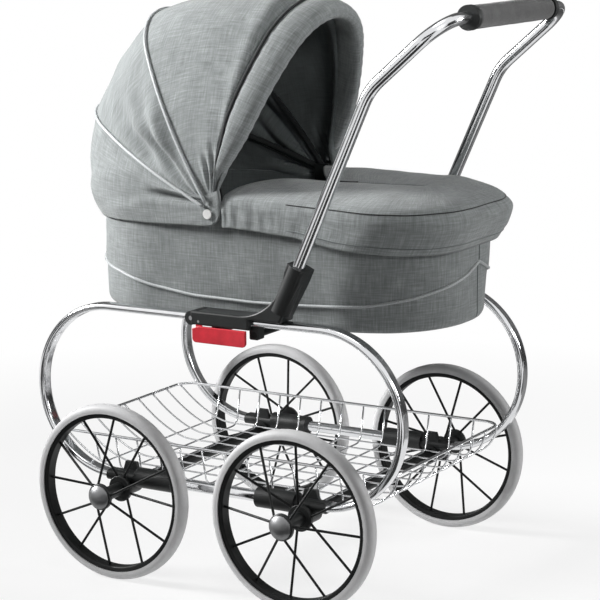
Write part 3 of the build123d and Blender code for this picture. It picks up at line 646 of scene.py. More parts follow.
@dataclass
class SubAssembly:
    """A group of pieces, with the frame and the finishes that it needs."""

    frame: dict
    palette: Palette

    def paint(self, material: Material, *nodes: str) -> None:
        """Give CAD nodes a material.

        Args:
            material: The finish.
            nodes: Names of the nodes.
        """
        for node in nodes:
            piece = self.frame["nodes"][node]
            for owner in [piece, *piece.children_recursive]:
                if owner.type == "MESH":
                    if not owner.data.materials:
                        owner.data.materials.append(material)
                    for slot in owner.material_slots:
                        slot.material = material
            LOG.info("%s: %s", node, material.name)

    def seat(self, piece: Piece, body: str, slot: Slot, material: Material) -> None:
        """Give a piece its finish and the body that it rides on.

        Args:
            piece: The piece.
            body: Name of the body.
            slot: Material slot; not used.
            material: The finish.
        """
        piece.data.materials.append(material)
        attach(piece, body)

    def drape(self, piece: Piece, thickness: float, node: str) -> float:
        """Give a sheet its thickness, cloth outside and lining inside, in place of a CAD node.

        Args:
            piece: The single-sided sheet.
            thickness: Thickness in metres, inwards.
            node: Name of the node.

        Returns:
            Area of the sheet in square metres.
        """
        sheet = piece.data
        area = sum(p.area for p in sheet.polygons)
        sheet.materials.append(self.palette.cloth)
        sheet.materials.append(self.palette.lining)
        solid = piece.modifiers.new("cloth", "SOLIDIFY")
        solid.thickness = thickness
        solid.offset = -1.0
        solid.material_offset = 1
        solid.material_offset_rim = 0
        solid.use_even_offset = False
        depsgraph = bpy.context.evaluated_depsgraph_get()
        mesh = bpy.data.meshes.new_from_object(piece.evaluated_get(depsgraph))
        piece.modifiers.clear()
        piece.data = mesh
        bpy.data.meshes.remove(sheet)
        mesh.shade_smooth()
        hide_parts(node)
        return area


@dataclass
class Wheels(SubAssembly):
    """Four spoked wheels with pale tyres, black rims, pewter caps and plated washers."""

    axle_x: float = 0.124
    wheel_y: float = 0.185
    hub_half: float = 0.0175
    height: float = 0.105
    washer_radius: float = 0.0108
    washer_wire: float = 0.0013

    def build(self) -> None:
        """Paint the wheels and add the washers at the inner end of the hubs."""
        palette = self.palette
        finishes = {"tyre": palette.tyre, "rim": palette.enamel, "spokes": palette.enamel,
                    "hub": palette.black, "hub_cap": palette.pewter}
        for end, side, place in corners():
            for node, material in finishes.items():
                self.paint(material, f"{node}_{place}")
            x, y = end.value * self.axle_x, side.value * (self.wheel_y - self.hub_half)
            ring = [Vector((x + u, y, self.height + v)) for u, v in circle(self.washer_radius, 32)]
            piece = tube_object(f"hub_washer_{place}", ring, self.washer_wire, 8, True)
            self.seat(piece, f"wheel_{place}", Slot.STEEL, palette.wire)


@dataclass
class Chassis(SubAssembly):
    """Side hoops, rails, brackets, axles, cradle, hinges, levers and hood bows."""

    def build(self) -> None:
        """Paint the frame's own nodes."""
        palette = self.palette
        self.paint(palette.chrome, "side_hoop_left", "side_hoop_right", "bottom_rails")
        self.paint(palette.steel, "axles", "fold_pins", "lever_pins")
        self.paint(palette.enamel, "cross_tubes", "cradle_rods")
        self.paint(palette.black, "cradle_blocks", "hinge_knuckles", "hinge_moulding_left",
                   "hinge_moulding_right", "hood_pivots")
        self.paint(palette.black, *(f"axle_bracket_{place}" for _, _, place in corners()))
        self.paint(palette.bow, "hood_rear_bow", "hood_mid_bow", "hood_front_bow")
        self.paint(palette.red, "release_lever_left", "release_lever_right")
        self.paint(palette.white, "snap_buttons")
        self.paint(palette.board, "base_board")


@dataclass
class Basket(SubAssembly):
    """Welded wire basket between the hoops."""

    front_x: float = -0.240
    rear_x: float = 0.224
    half_width: float = 0.137
    rim_z: float = 0.157
    floor_half_width: float = 0.1245
    floor_front_x: float = -0.158
    floor_rear_x: float = 0.166
    floor_z: float = 0.1134
    front_curve: float = 1.75
    cross_wires: int = 13
    cross_front_x: float = -0.184
    cross_rear_x: float = 0.187
    long_wires: int = 9
    wire: float = 0.00115
    sides: int = 8
    weld: float = 0.9
    turn: float = 0.010
    turn_out: float = 0.002
    turn_room: float = 2.5
    rim_gap_y: float = 0.0003
    rim_gap_z: float = 0.0006
    nodes: tuple[str, ...] = ("basket_floor", "basket_side_left", "basket_side_right",
                              "basket_front", "basket_rear")

    def height(self, x: float) -> float:
        """Height of the basket's floor at x, with its raised ends.

        Args:
            x: Place along the pram.

        Returns:
            Height of the lengthwise wires.
        """
        rise = self.rim_z - self.floor_z
        if x < self.floor_front_x:
            share = (self.floor_front_x - x) / (self.floor_front_x - self.front_x)
            return self.floor_z + rise * share**self.front_curve
        if x > self.floor_rear_x:
            share = (x - self.floor_rear_x) / (self.rear_x - self.floor_rear_x)
            return self.floor_z + rise * (1 - math.sqrt(max(0.0, 1 - share**2)))
        return self.floor_z

    def build(self) -> None:
        """Make the wires and paint the rim."""
        curve = 1 - np.sin(np.linspace(0, math.pi / 2, 14))
        stations = [*np.linspace(self.front_x, self.floor_front_x, 12),
                    *(self.rear_x - (self.rear_x - self.floor_rear_x) * curve)]
        half = self.floor_half_width
        routes = [[Vector((x, y, self.height(x))) for x in stations]
                  for y in np.linspace(-half, half, self.long_wires)]
        routes += [self.cross_route(x)
                   for x in np.linspace(self.cross_front_x, self.cross_rear_x, self.cross_wires)]
        wires = [tube_object("wire", route, self.wire, self.sides) for route in routes]
        piece = join("basket_wires", wires)
        self.seat(piece, "chassis", Slot.CHROME, self.palette.wire)
        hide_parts(*self.nodes)
        self.paint(self.palette.wire, "basket_rim")

    def cross_route(self, x: float) -> Row:
        """Middle line of one cross wire: down one wall, over the floor and up the other.

        Args:
            x: Place along the pram.

        Returns:
            Points of the wire.
        """
        low = self.height(x) - 2 * self.wire * self.weld
        lean = math.atan2(self.half_width - self.floor_half_width, self.rim_z - self.floor_z)
        up, inward = Vector((0, math.sin(lean), math.cos(lean))), Vector((0, -1, 0))
        half = [Vector((x, self.half_width - self.rim_gap_y, self.rim_z - self.rim_gap_z))]
        if self.rim_z - low > self.turn_room * self.turn:
            foot = Vector((x, self.floor_half_width + self.turn_out, low))
            for t in (0.0, 0.25, 0.5, 0.75, 1.0):
                half.append(foot + self.turn * ((1 - t) ** 2 * up + t**2 * inward))
        else:
            half.append(Vector((x, self.floor_half_width, low)))
        return half + [Vector((p.x, -p.y, p.z)) for p in reversed(half)]


@dataclass
class Handle(SubAssembly):
    """Bent chrome handle with its foam sleeve."""

    bar_x: float = 0.2985
    bar_z: float = 0.661
    length: float = 0.187
    radius: float = 0.013
    bore: float = 0.0071
    sides: int = 40
    uneven: float = 0.012
    end_share: float = 0.045
    end_round: float = 0.16

    def ring(self, radius: float, y: float) -> Row:
        """Points round the bar."""
        return [Vector((self.bar_x + u, y, self.bar_z + v)) for u, v in circle(radius, self.sides)]

    def build(self) -> None:
        """Make the foam sleeve, uneven and rounded at its ends, and paint the tube and rings."""
        half = self.length / 2
        rows = []
        for t in np.linspace(-1, 1, 61):
            end = max(0.0, abs(t) - 1 + self.end_share) / self.end_share
            dent = self.uneven * math.sin(9 * t) * math.sin(5 * t + 1)
            rows.append(self.ring(self.radius * (1 + dent - self.end_round * end**2), t * half))
        inner = [self.ring(self.bore, y) for y in (half, -half)]
        piece = grid_object("foam_grip", rows + inner + [rows[0]], True)
        self.seat(piece, "handle", Slot.FOAM, self.palette.foam)
        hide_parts("grip")
        self.paint(self.palette.chrome, "handle_tube")
        self.paint(self.palette.black, "grip_rings")


@dataclass
class Plan:
    """Plan outline of the bassinet: straight sides with rounded head and foot."""

    head_x: float
    foot_x: float
    half_width: float
    head_corner: float
    foot_corner: float

    def inset(self, amount: float) -> "Plan":
        """The same plan drawn in by an amount."""
        return Plan(self.head_x + amount, self.foot_x - amount, self.half_width - amount,
                    self.head_corner - amount, self.foot_corner - amount)

    def points(self, count: int) -> Flat:
        """Evenly spaced points round the plan, from the middle of the head over the left side.

        Args:
            count: Number of points.

        Returns:
            Points as (x, y).
        """
        w, h, f = self.half_width, self.head_corner, self.foot_corner
        head, foot = self.head_x + h, self.foot_x - f
        line = [(self.head_x, 0.0)]
        rounds = ((head, h - w, h, 180), (foot, f - w, f, 270), (foot, w - f, f, 0),
                  (head, w - h, h, 90))
        for x, y, r, start in rounds:
            line += arc(x, y, r, start, 90, 40)
        return evenly(line + line[:1], count, True)


@dataclass
class Bassinet(SubAssembly):
    """Cloth-covered tub with its piping, seams and mattress."""

    floor_z: float = 0.3093
    rim_z: float = 0.4487
    turn: float = 0.011
    turn_start: float = 0.12
    turn_end: float = 0.006
    turn_under: float = 0.008
    base_shares: tuple[float, ...] = (0.0, 0.35, 0.7, 0.93)
    bottom: Plan = field(default_factory=lambda: Plan(-0.226, 0.254, 0.121, 0.112, 0.112))
    top: Plan = field(default_factory=lambda: Plan(-0.223, 0.252, 0.128, 0.124, 0.104))
    wall: float = 0.0035
    wall_swell: float = 0.0016
    wall_noise: float = 0.0007
    piping_radius: float = 0.0018
    piping_round: tuple[float, ...] = (0.0, 0.042, 0.111, 0.152, 0.198, 0.26, 0.317, 0.368, 0.412,
                                       0.441, 0.477, 0.5)
    piping_z: tuple[float, ...] = (0.372, 0.366, 0.354, 0.343, 0.336, 0.3345, 0.337, 0.341, 0.349,
                                   0.357, 0.367, 0.378)
    seam_shift: int = 3
    seam_radius: float = 0.0007
    seam_foot: float = 0.004
    seam_head: float = 0.002
    seam_proud: float = 0.0001
    band_step: float = 0.0022
    band_edge: float = 0.0012
    mattress_z: float = 0.3187
    mattress_gap: float = 0.0075
    mattress_dip: float = 0.0012
    mattress_tufts: float = 60.0
    mattress_top: float = 0.02
    mattress_profile: tuple[tuple[float, float], ...] = (
        (0.0, 0.0), (0.5, 0.0), (0.955, 0.0006), (0.985, 0.004), (1.0, 0.0105), (0.985, 0.017),
        (0.95, 0.021), (0.85, 0.0228), (0.6, 0.0235), (0.3, 0.0236), (0.0, 0.0236))
    columns: int = 240
    low_line: Flat = field(default_factory=list)
    high_line: Flat = field(default_factory=list)
    normals: Flat = field(default_factory=list)

    def wall_point(self, index: int, z: float, proud: float = 0.0) -> Vector:
        """Point on the tub's outer cloth.

        Args:
            index: Column round the tub.
            z: Height.
            proud: Distance outside the cloth.

        Returns:
            The point.
        """
        low, high = self.low_line[index], self.high_line[index]
        share = max(0.0, (z - self.floor_z - self.turn) / (self.rim_z - self.floor_z - self.turn))
        x, y = (a + (b - a) * share for a, b in zip(low, high))
        nx, ny = self.normals[index]
        under = max(0.0, 1 - (z - self.floor_z) / self.turn)
        out = proud + self.wall_swell * math.sin(math.pi * min(1.0, share))
        out -= self.turn_under * (1 - math.sqrt(max(0.0, 1 - under**2)))
        out += self.wall_noise * soft_noise(x * 30, z * 26 + y * 18, 1.3)
        above = (z - self.piping_height(index)) / self.band_edge
        out += self.band_step * (math.atan(above) / math.pi - 0.5)
        return Vector((x + nx * out, y + ny * out, z))

    def piping_height(self, index: int) -> float:
        """Height of the piping at a column round the tub."""
        share = (index / self.columns + 1) % 1
        peak = 0.5 + self.seam_shift / self.columns
        near = share / peak * 0.5 if share < peak else (1 - share) / (1 - peak) * 0.5
        return float(np.interp(near, self.piping_round, self.piping_z))

    def middle_x(self, x: float) -> float:
        """Nearest place on the tub's straight middle line."""
        plan = self.bottom
        return min(plan.foot_x - plan.foot_corner, max(plan.head_x + plan.head_corner, x))

    def build(self) -> None:
        """Make the tub, piping, seams and mattress."""
        self.low_line = self.bottom.points(self.columns)
        self.high_line = self.top.points(self.columns)
        for i in range(self.columns):
            a, b = self.low_line[i - 1], self.low_line[(i + 1) % self.columns]
            self.normals.append(tuple(Vector((b[1] - a[1], a[0] - b[0])).normalized()))
        self.tub()
        self.piping()
        self.seams()
        self.mattress()

    def tub(self) -> None:
        """Make the cloth tub with its turned-under bottom edge."""
        curve = 1 - np.cos(np.linspace(self.turn_start, math.pi / 2, 7))
        heights = [*(self.floor_z + self.turn * curve),
                   *np.linspace(self.floor_z + self.turn + self.turn_end, self.rim_z, 26)]
        rows = [[self.wall_point(i, z) for i in range(self.columns)] for z in heights]
        base = [[Vector((p.x * share + (1 - share) * self.middle_x(p.x), p.y * share, self.floor_z))
                 for p in rows[0]] for share in self.base_shares]
        piece = grid_object("bassinet_cloth", base + rows, True)
        area = self.drape(piece, self.wall, "bassinet_shell")
        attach(piece, "chassis")

    def piping(self) -> None:
        """Lay the pale piping round the tub, low along the sides and peaked at head and foot."""
        proud = self.piping_radius * 0.5
        path = [self.wall_point(i, self.piping_height(i), proud) for i in range(self.columns)]
        smooth = [(before + point * 2 + after) / 4
                  for before, point, after in zip(path[-1:] + path, path, path[1:] + path[:1])]
        peak = self.columns // 2 + self.seam_shift
        smooth[peak] = path[peak]
        piece = tube_object("body_piping", smooth, self.piping_radius, 10, True)
        self.seat(piece, "chassis", Slot.CLOTH, self.palette.piping)

    def seams(self) -> None:
        """Sew the upright seams at the middle of head and foot."""
        heights = np.linspace(self.floor_z + self.seam_foot, self.rim_z - self.seam_head, 30)
        paths = [[self.wall_point(index, z, self.seam_proud) for z in heights]
                 for index in (0, self.columns // 2 + self.seam_shift)]
        tubes = [tube_object("seam", path, self.seam_radius, 8) for path in paths]
        piece = join("tub_seams", tubes)
        self.seat(piece, "chassis", Slot.CLOTH, self.palette.lining)

    def mattress(self) -> None:
        """Make the crowned mattress pad with its drawn-in edge."""
        outline = self.bottom.inset(self.mattress_gap).points(120)
        rows = []
        for share, z in self.mattress_profile:
            row = []
            for x, y in outline:
                cx = self.middle_x(x)
                tuft = math.cos(x * self.mattress_tufts) * math.cos(y * self.mattress_tufts)
                dip = self.mattress_dip * abs(tuft) if z > self.mattress_top else 0.0
                height = self.mattress_z + z - dip
                row.append(Vector((cx + (x - cx) * share, y * share, height)))
            rows.append(row)
        piece = grid_object("mattress_pad", rows, True)
        self.seat(piece, "chassis", Slot.BED, self.palette.bed)
        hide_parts("mattress")


@dataclass
class Apron(SubAssembly):
    """Foot apron: a gathered band and a full top that opens in the middle of its front edge."""

    front_x: float = 0.0045
    notch: float = 0.062
    notch_reach: float = 0.19
    # The slit cord is near-black cloth: painted shade in the opening of the front edge.
    slit_start: float = 0.068
    slit_x: float = 0.113
    slit_radius: float = 0.0012
    slit_lift: float = 0.0004
    half_width: float = 0.135
    corner: float = 0.102
    hem_foot_x: float = 0.259
    brow_foot_x: float = 0.2775
    hem_x: tuple[float, ...] = (0.02, 0.10, 0.15, 0.25)
    hem_z: tuple[float, ...] = (0.4205, 0.4155, 0.4065, 0.3988)
    hem_radius: float = 0.0006
    seam_inset: float = 0.0035
    seam_inset_foot: float = 0.0090
    seam_front_z: float = 0.4545
    seam_foot_z: float = 0.4462
    seam_reach: float = 0.23
    seam_start: float = 0.085
    seam_radius: float = 0.0008
    lean_rate: float = 1.25
    tuck_share: float = 0.70
    foot_start: float = 0.19
    foot_reach: float = 0.07
    round_x: float = 0.165
    pleat: float = 0.0017
    pleat_start: float = 0.012
    pleat_reach: float = 0.055
    pleat_rate: float = 400.0
    pleat_wander: float = 1.4
    wander_rate: float = 90.0
    band_noise: float = 0.0006
    top_noise: float = 0.0011
    crown_z: float = 0.4675
    crown_share: float = 0.58
    crown_full: float = 0.62
    foot_shorter: float = 0.3
    foot_deep: float = 0.08
    fade: float = 0.75
    fade_crown: float = 0.18
    fade_start: float = 0.06
    fade_reach: float = 0.17
    valley_z: float = 0.4605
    ridge_x: float = 0.195
    cloth: float = 0.0021
    count: int = 220

    def line(self, foot_x: float) -> Flat:
        """Plan from the left front corner round the foot to the right front corner.

        Args:
            foot_x: Reach of the foot end.

        Returns:
            Points as (x, y).
        """
        w, r = self.half_width, self.corner
        left, right = arc(foot_x - r, r - w, r, 270, 90, 50), arc(foot_x - r, w - r, r, 0, 90, 50)
        return evenly([(self.front_x, -w), *left, *right, (self.front_x, w)], self.count)

    def seam_height(self, x: float) -> float:
        """Height of the seam round the top, lower at the foot."""
        share = clamp((x - self.front_x) / self.seam_reach)
        return self.seam_front_z + (self.seam_foot_z - self.seam_front_z) * share

    def band(self) -> list[Row]:
        """Rows of the band from the hem, drawn up by its elastic, to the seam.

        Returns:
            The rows.
        """
        hem, brow = self.line(self.hem_foot_x), self.line(self.brow_foot_x)
        rows = []
        for share in np.linspace(0, 1, 17):
            row = []
            for (hx, hy), (bx, by) in zip(hem, brow):
                lean = ease(share * self.lean_rate)
                x, y = hx + (bx - hx) * lean, hy + (by - hy) * lean
                gather = math.exp(-max(0.0, x - self.pleat_start) / self.pleat_reach)
                wander = self.pleat_wander * math.sin(x * self.wander_rate)
                pleat = math.sin(x * self.pleat_rate + wander) * gather
                pleat *= (1 - share) ** 0.7 * share**0.3
                foot = clamp((x - self.foot_start) / self.foot_reach)
                inset = self.seam_inset + (self.seam_inset_foot - self.seam_inset) * foot
                tuck = inset * (max(0.0, share - self.tuck_share) / (1 - self.tuck_share)) ** 2
                swell = self.pleat * pleat - tuck
                swell += self.band_noise * soft_noise(x * 44, y * 44 + share * 5, 2.1)
                out = Vector((max(0.0, x - self.round_x), y)).normalized() * swell
                low, high = float(np.interp(x, self.hem_x, self.hem_z)), self.seam_height(x)
                row.append(Vector((x + out.x, y + out.y, low + (high - low) * share)))
            rows.append(row)
        return rows

    def top(self, seam: Row) -> list[Row]:
        """Rows of the top from the seam to the middle line.

        Args:
            seam: The band's last row.

        Returns:
            The rows.
        """
        rows = []
        for share in np.linspace(0.02, 1, 24):
            row = []
            for p in seam:
                ridge = min(p.x, self.ridge_x)
                x, y = ridge + (p.x - ridge) * (1 - share), p.y * (1 - share)
                beyond = max(0.0, p.x - self.ridge_x) / self.foot_deep
                depth = share * (1 - self.foot_shorter * beyond)
                swell = ease(depth / self.crown_share) ** self.crown_full
                fall = max(0.0, (depth - self.crown_share) / (1 - self.crown_share))
                fade = 1 - self.fade * clamp((x - self.fade_start) / self.fade_reach)
                swell *= 1 - self.fade_crown + self.fade_crown * fade
                crown = p.z + (self.crown_z - p.z) * swell
                crown -= (self.crown_z - self.valley_z) * fall**1.5 * fade
                recess = self.notch * share**2 * max(0.0, 1 - (x - self.front_x) / self.notch_reach)
                ripple = soft_noise(x * 34, y * 30, 3.2) * math.sin(math.pi * share)
                row.append(Vector((x + recess, y, crown + self.top_noise * ripple)))
            rows.append(row)
        return rows

    def build(self) -> None:
        """Make the apron, its seam cord, hem stitching and a cord along the left half of its front
        slit; both cords are near-black cloth, painted shade along the real seam and in the opening.
        """
        band = self.band()
        top = self.top(band[-1])
        piece = grid_object("foot_apron", band + top)
        area = self.drape(piece, self.cloth, "apron")
        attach(piece, "chassis")
        # Seam and slit cords are near-black: painted shade along the seam where band meets top, and
        # in the opening.
        seam_path, hem_path = ([p for p in row if p.x > self.seam_start]
                               for row in (band[-1], band[3]))
        seam = tube_object("apron_seam", seam_path, self.seam_radius, 8)
        hem = tube_object("apron_hem_stitch", hem_path, self.hem_radius, 6)
        lift = Vector((0, 0, self.slit_lift))
        slit_path = [p + lift for p in top[-3] if p.y < 0 and self.slit_start < p.x < self.slit_x]
        slit = tube_object("apron_slit", slit_path, self.slit_radius, 8)
        for part, material in ((seam, self.palette.shadow_cord), (hem, self.palette.lining),
                               (slit, self.palette.shadow_cord)):
            self.seat(part, "chassis", Slot.CLOTH, material)


@dataclass(frozen=True)
class Rib:
    """One seam line of the hood: a plane through the ribs' meeting line and an arch on it."""

    angle: float
    height: float


@dataclass
class Hood(SubAssembly):
    """Folding hood: curtain, two cloth panels, corded ribs and a padded front roll."""

    axis: Vector = field(default_factory=lambda: Vector((-0.015, 0, 0.456)))
    meet: Vector = field(default_factory=lambda: Vector((-0.010, 0, 0.440)))
    heart: Vector = field(default_factory=lambda: Vector((-0.010, 0, 0.490)))
    heart_scale: Vector = field(default_factory=lambda: Vector((0.8, 1.25, 1.0)))
    half_width: float = 0.136
    crown: float = 0.100
    cloth: float = 0.0022
    foot: float = 0.010
    sink: float = 0.0016
    sink_reach: float = 0.03
    rear: Rib = Rib(156.0, 0.254)
    rear_sag: float = 0.2545
    mid: Rib = Rib(124.0, 0.262)
    main_sag: float = 0.2435
    front: Rib = Rib(73.0, 0.239)
    blend_rear: float = 142.0
    blend_main: float = 96.5
    blend_half: float = 0.026
    curtain_front_x: float = 0.0035
    curtain_belly: float = 0.46
    curtain_drop: float = 0.009
    waist_back_x: float = -0.251
    curtain_swell: float = 0.0018
    straight_x: float = -0.10
    tab: Fold = Fold(1.0, 0.0, 0.022)
    tab_x: float = 0.001
    tab_slope: float = 0.4
    tab_z: float = 0.463
    tab_proud: float = 0.0002
    hem_back_x: float = -0.2325
    hem_z: float = 0.421
    hem_tilt: float = 1.5
    hem_corner: float = 0.020
    hem_crown: float = 0.131
    rear_low: Fold = Fold(1.0, 0.17, 0.09)
    rear_fold: float = 0.0075
    rear_cross_fold: float = 0.0045
    rear_noise: float = 0.0016
    main_low: Fold = Fold(1.0, 0.10, 0.06)
    main_noise: float = 0.0012
    crease: Fold = Fold(-0.0135, 0.925, 0.050)
    crease_foot: float = 0.05
    crease_low_size: float = 0.0035
    crease_low_width: float = 0.055
    ridge: Fold = Fold(0.0020, 0.80, 0.05)
    gathers: Fold = Fold(0.0046, 0.062, 0.036)
    slack: Fold = Fold(1.0, 0.100, 0.050)
    slack_ridge: Fold = Fold(0.0040, 0.74, 0.08)
    slack_dent: Fold = Fold(-0.0125, 0.52, 0.09)
    roll_angle: float = 68.0
    roll_half_width: float = 0.1285
    roll_height: float = 0.2225
    roll_crown: float = 0.092
    roll_wide: float = 0.0172
    roll_wide_foot: float = 0.18
    roll_wide_reach: float = 0.16
    roll_rear: float = 0.0200
    rear_round: tuple[float, ...] = (0.0, 0.05, 0.09, 0.14, 0.20, 0.34)
    rear_share: tuple[float, ...] = (0.06, 0.18, 0.34, 0.66, 0.80, 1.0)
    roll_deep: float = 0.0102
    roll_deep_foot: float = 0.45
    roll_deep_reach: float = 0.09
    roll_pinch: float = 0.035
    roll_gathers: float = 120.0
    roll_foot: float = 0.0125
    roll_columns: int = 181
    columns: int = 141
    piping_radius: float = 0.0020
    piping_proud: float = 0.55
    piping_foot: float = 0.0011
    piping_foot_reach: float = 0.05
    # The roll's seam cord is near-black cloth: painted shade in the groove behind the roll.
    seam_radius: float = 0.0019
    shade_cord_gap: float = 0.0005
    seam_proud: float = 0.62

    def arch(self, half_width: float, height: float, crown: float, foot: float, count: int) -> Flat:
        """Three-centred arch from the left foot over the crown to the right foot.

        Args:
            half_width: Half the width at the axis.
            height: Height of the crown.
            crown: Radius of the crown.
            foot: Height of the feet above the axis.
            count: Number of points.

        Returns:
            Points as (across, up).
        """
        side = (half_width**2 + (height - crown) ** 2 - crown**2) / (2 * (half_width - crown))
        centre = half_width - side
        turn = math.degrees(math.atan2(height - crown, -centre))
        lift = math.degrees(math.asin(foot / side))
        right = arc(centre, 0.0, side, lift, turn - lift, 60)
        right += arc(0.0, height - crown, crown, turn, 90 - turn, 60)[1:]
        return evenly([(-x, z) for x, z in right] + right[-2::-1], count)

    def place(self, flat: Iterable[tuple[float, float]], x: float, z: float, angle: float) -> Row:
        """Put an arch on its plane through (x, z), at an angle from +X in degrees."""
        c, s = math.cos(math.radians(angle)), math.sin(math.radians(angle))
        return [Vector((x + v * c, u, z + v * s)) for u, v in flat]

    def rib_line(self, rib: Rib) -> Row:
        """Cloth line over a rib."""
        flat = self.arch(self.half_width, rib.height, self.crown, self.foot, self.columns)
        return self.place(flat, self.meet.x, self.meet.z, rib.angle)

    def outward(self, point: Vector) -> Vector:
        """Direction out of the hood at a point, away from its heart."""
        return ((point - self.heart) * self.heart_scale).normalized()

    def panel(self, first: Rib, middle: float, last: Rib, rows: int,
              wrinkle: Callable[[float, float], float]) -> list[Row]:
        """Rows of cloth between two ribs, front row first.

        Args:
            first: Rear rib.
            middle: Height halfway, lower where the cloth sags.
            last: Front rib.
            rows: Number of rows.
            wrinkle: Distance outside the cloth at (share along the panel, share round the arch).

        Returns:
            The rows.
        """
        result = []
        for t in np.linspace(1, 0, rows):
            height = first.height * (1 - t) * (1 - 2 * t) + last.height * t * (2 * t - 1)
            height += 4 * middle * t * (1 - t)
            rib = Rib(first.angle + (last.angle - first.angle) * t, height)
            moved = []
            for i, p in enumerate(self.rib_line(rib)):
                s = i / (self.columns - 1)
                sink = self.sink * math.exp(-min(s, 1 - s) / self.sink_reach)
                moved.append(p + self.outward(p) * (wrinkle(t, s) - sink))
            result.append(moved)
        return result

    def build(self) -> None:
        """Make the curtain, the panels, the roll and the piping."""
        self.curtain()
        rear = self.panel(self.rear, self.rear_sag, self.mid, 30, self.rear_folds)
        main = self.panel(self.mid, self.main_sag, self.front, 44, self.main_folds)
        self.sheet("hood_rear_cloth", rear, "hood_panel_rear", ("chassis", "hood_mid"),
                   self.blend_rear)
        self.sheet("hood_main_cloth", main, "hood_panel_main", ("hood_mid", "hood_front"),
                   self.blend_main)
        self.roll()
        self.piping("rear_rib_piping", self.rear, "chassis")
        self.piping("mid_rib_piping", self.mid, "hood_mid")

    def piping(self, name: str, rib: Rib, body: str) -> None:
        """Sew piping along a rib.

        Args:
            name: Name of the piece.
            rib: The rib.
            body: Body that carries it.
        """
        path = []
        for i, p in enumerate(self.rib_line(rib)):
            s = i / (self.columns - 1)
            foot = self.piping_foot * math.exp(-min(s, 1 - s) / self.piping_foot_reach)
            path.append(p + self.outward(p) * (self.piping_radius * self.piping_proud + foot))
        piece = tube_object(name, path, self.piping_radius, 10)
        self.seat(piece, body, Slot.CLOTH, self.palette.piping)

    def rear_folds(self, t: float, s: float) -> float:
        """Soft folds of the rear panel, strongest low at the sides."""
        edge = min(s, 1 - s)
        fold = self.rear_fold * math.sin(math.pi * (2.3 * t + 5 * edge))
        fold += self.rear_cross_fold * math.sin(math.pi * (5 * t - 7 * edge))
        calm = self.rear_noise * soft_noise(5 * t, 22 * s, 0.4)
        return (fold * self.rear_low.at(edge) + calm) * math.sin(math.pi * t) ** 0.6

    def main_folds(self, t: float, s: float) -> float:
        """Folds of the main panel: a deep crease beside the roll and gathers at its feet."""
        edge = min(s, 1 - s)
        low = self.main_low.at(edge)
        wide = self.crease.width + (self.crease_low_width * low if t < self.crease.centre else 0.0)
        deep = self.crease.size - self.crease_low_size * low
        crease = Fold(deep, self.crease.centre, wide).at(t) * min(1.0, edge / self.crease_foot)
        gather = self.gathers.at(edge) * math.sin(27 * t + 46 * edge + 3 * t**2) * t**1.8
        calm = self.main_noise * soft_noise(5 * t, 24 * s, 2.4)
        return crease + self.ridge.at(t) + (gather + calm) * math.sin(math.pi * t) ** 0.5

    def curtain_folds(self, t: float, s: float) -> float:
        """Soft swell of the curtain, with a slack fold low on each side."""
        swell = self.curtain_swell * math.sin(math.pi * s)
        swell += self.rear_noise * soft_noise(6 * t, 15 * s, 5.1)
        fold = self.slack_ridge.at(t) + self.slack_dent.at(t)
        return swell * math.sin(math.pi * t) + self.slack.at(min(s, 1 - s)) * fold

    def curtain(self) -> None:
        """Make the fixed rear curtain from the hem up to the rear rib."""
        front, round_hem = self.curtain_front_x, self.hem_corner
        drop = Vector((0, 0, self.curtain_drop))
        hem_flat, waist_flat = (
            self.arch(self.half_width, front - back, self.hem_crown, 0.0, self.columns)
            for back in (self.hem_back_x, self.waist_back_x))
        hem = self.place(hem_flat, front, self.hem_z, 180 + self.hem_tilt)
        waist = self.place(waist_flat, front, self.axis.z, 180)
        rib = self.rib_line(self.rear)
        rows = []
        for t in np.linspace(1, 0, 34):
            row = []
            for i, (low, belly, high) in enumerate(zip(hem, waist, rib)):
                reach = front - low.x
                corner = min(round_hem, max(0.0, round_hem - reach))
                a = low + Vector((0, 0, round_hem - math.sqrt(round_hem**2 - corner**2)))
                tab = self.tab.at(front - belly.x)
                tab_x = self.tab_x - self.tab_slope * reach
                c = high.lerp(Vector((tab_x, high.y, self.tab_z)), tab)
                bulge = (belly - a.lerp(c, 0.4)) * self.curtain_belly - drop
                b = belly + bulge * (1 - tab)
                p = a * (1 - t) ** 2 + b * 2 * t * (1 - t) + c * t**2
                side = Vector((0, math.copysign(1, p.y), 0))
                behind = p.x - self.straight_x
                out = Vector((behind, p.y, 0)).normalized() if behind < 0 else side
                swell = self.curtain_folds(t, i / (self.columns - 1))
                row.append(p + out * (swell * (1 - tab) + self.tab_proud * tab))
            rows.append(row)
        piece = grid_object("hood_curtain_cloth", rows)
        area = self.drape(piece, self.cloth, "hood_curtain")
        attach(piece, "chassis")

    def sheet(self, name: str, rows: list[Row], node: str, bodies: tuple[str, str],
              angle: float) -> None:
        """Make one panel and let it crease between its two ribs.

        Args:
            name: Name of the piece.
            rows: Rows of cloth.
            node: CAD node it stands for.
            bodies: Bodies of the rear and front rib; not used.
            angle: Angle of the plane midway between them; not used.
        """
        piece = grid_object(name, rows, grain=True)
        area = self.drape(piece, self.cloth, node)
        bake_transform(piece)

    def swollen(self, edge: float, foot: float, reach: float) -> float:
        """Share of the roll's full size, from its share at the foot to one within the reach."""
        return foot + (1 - foot) * ease(edge / reach)

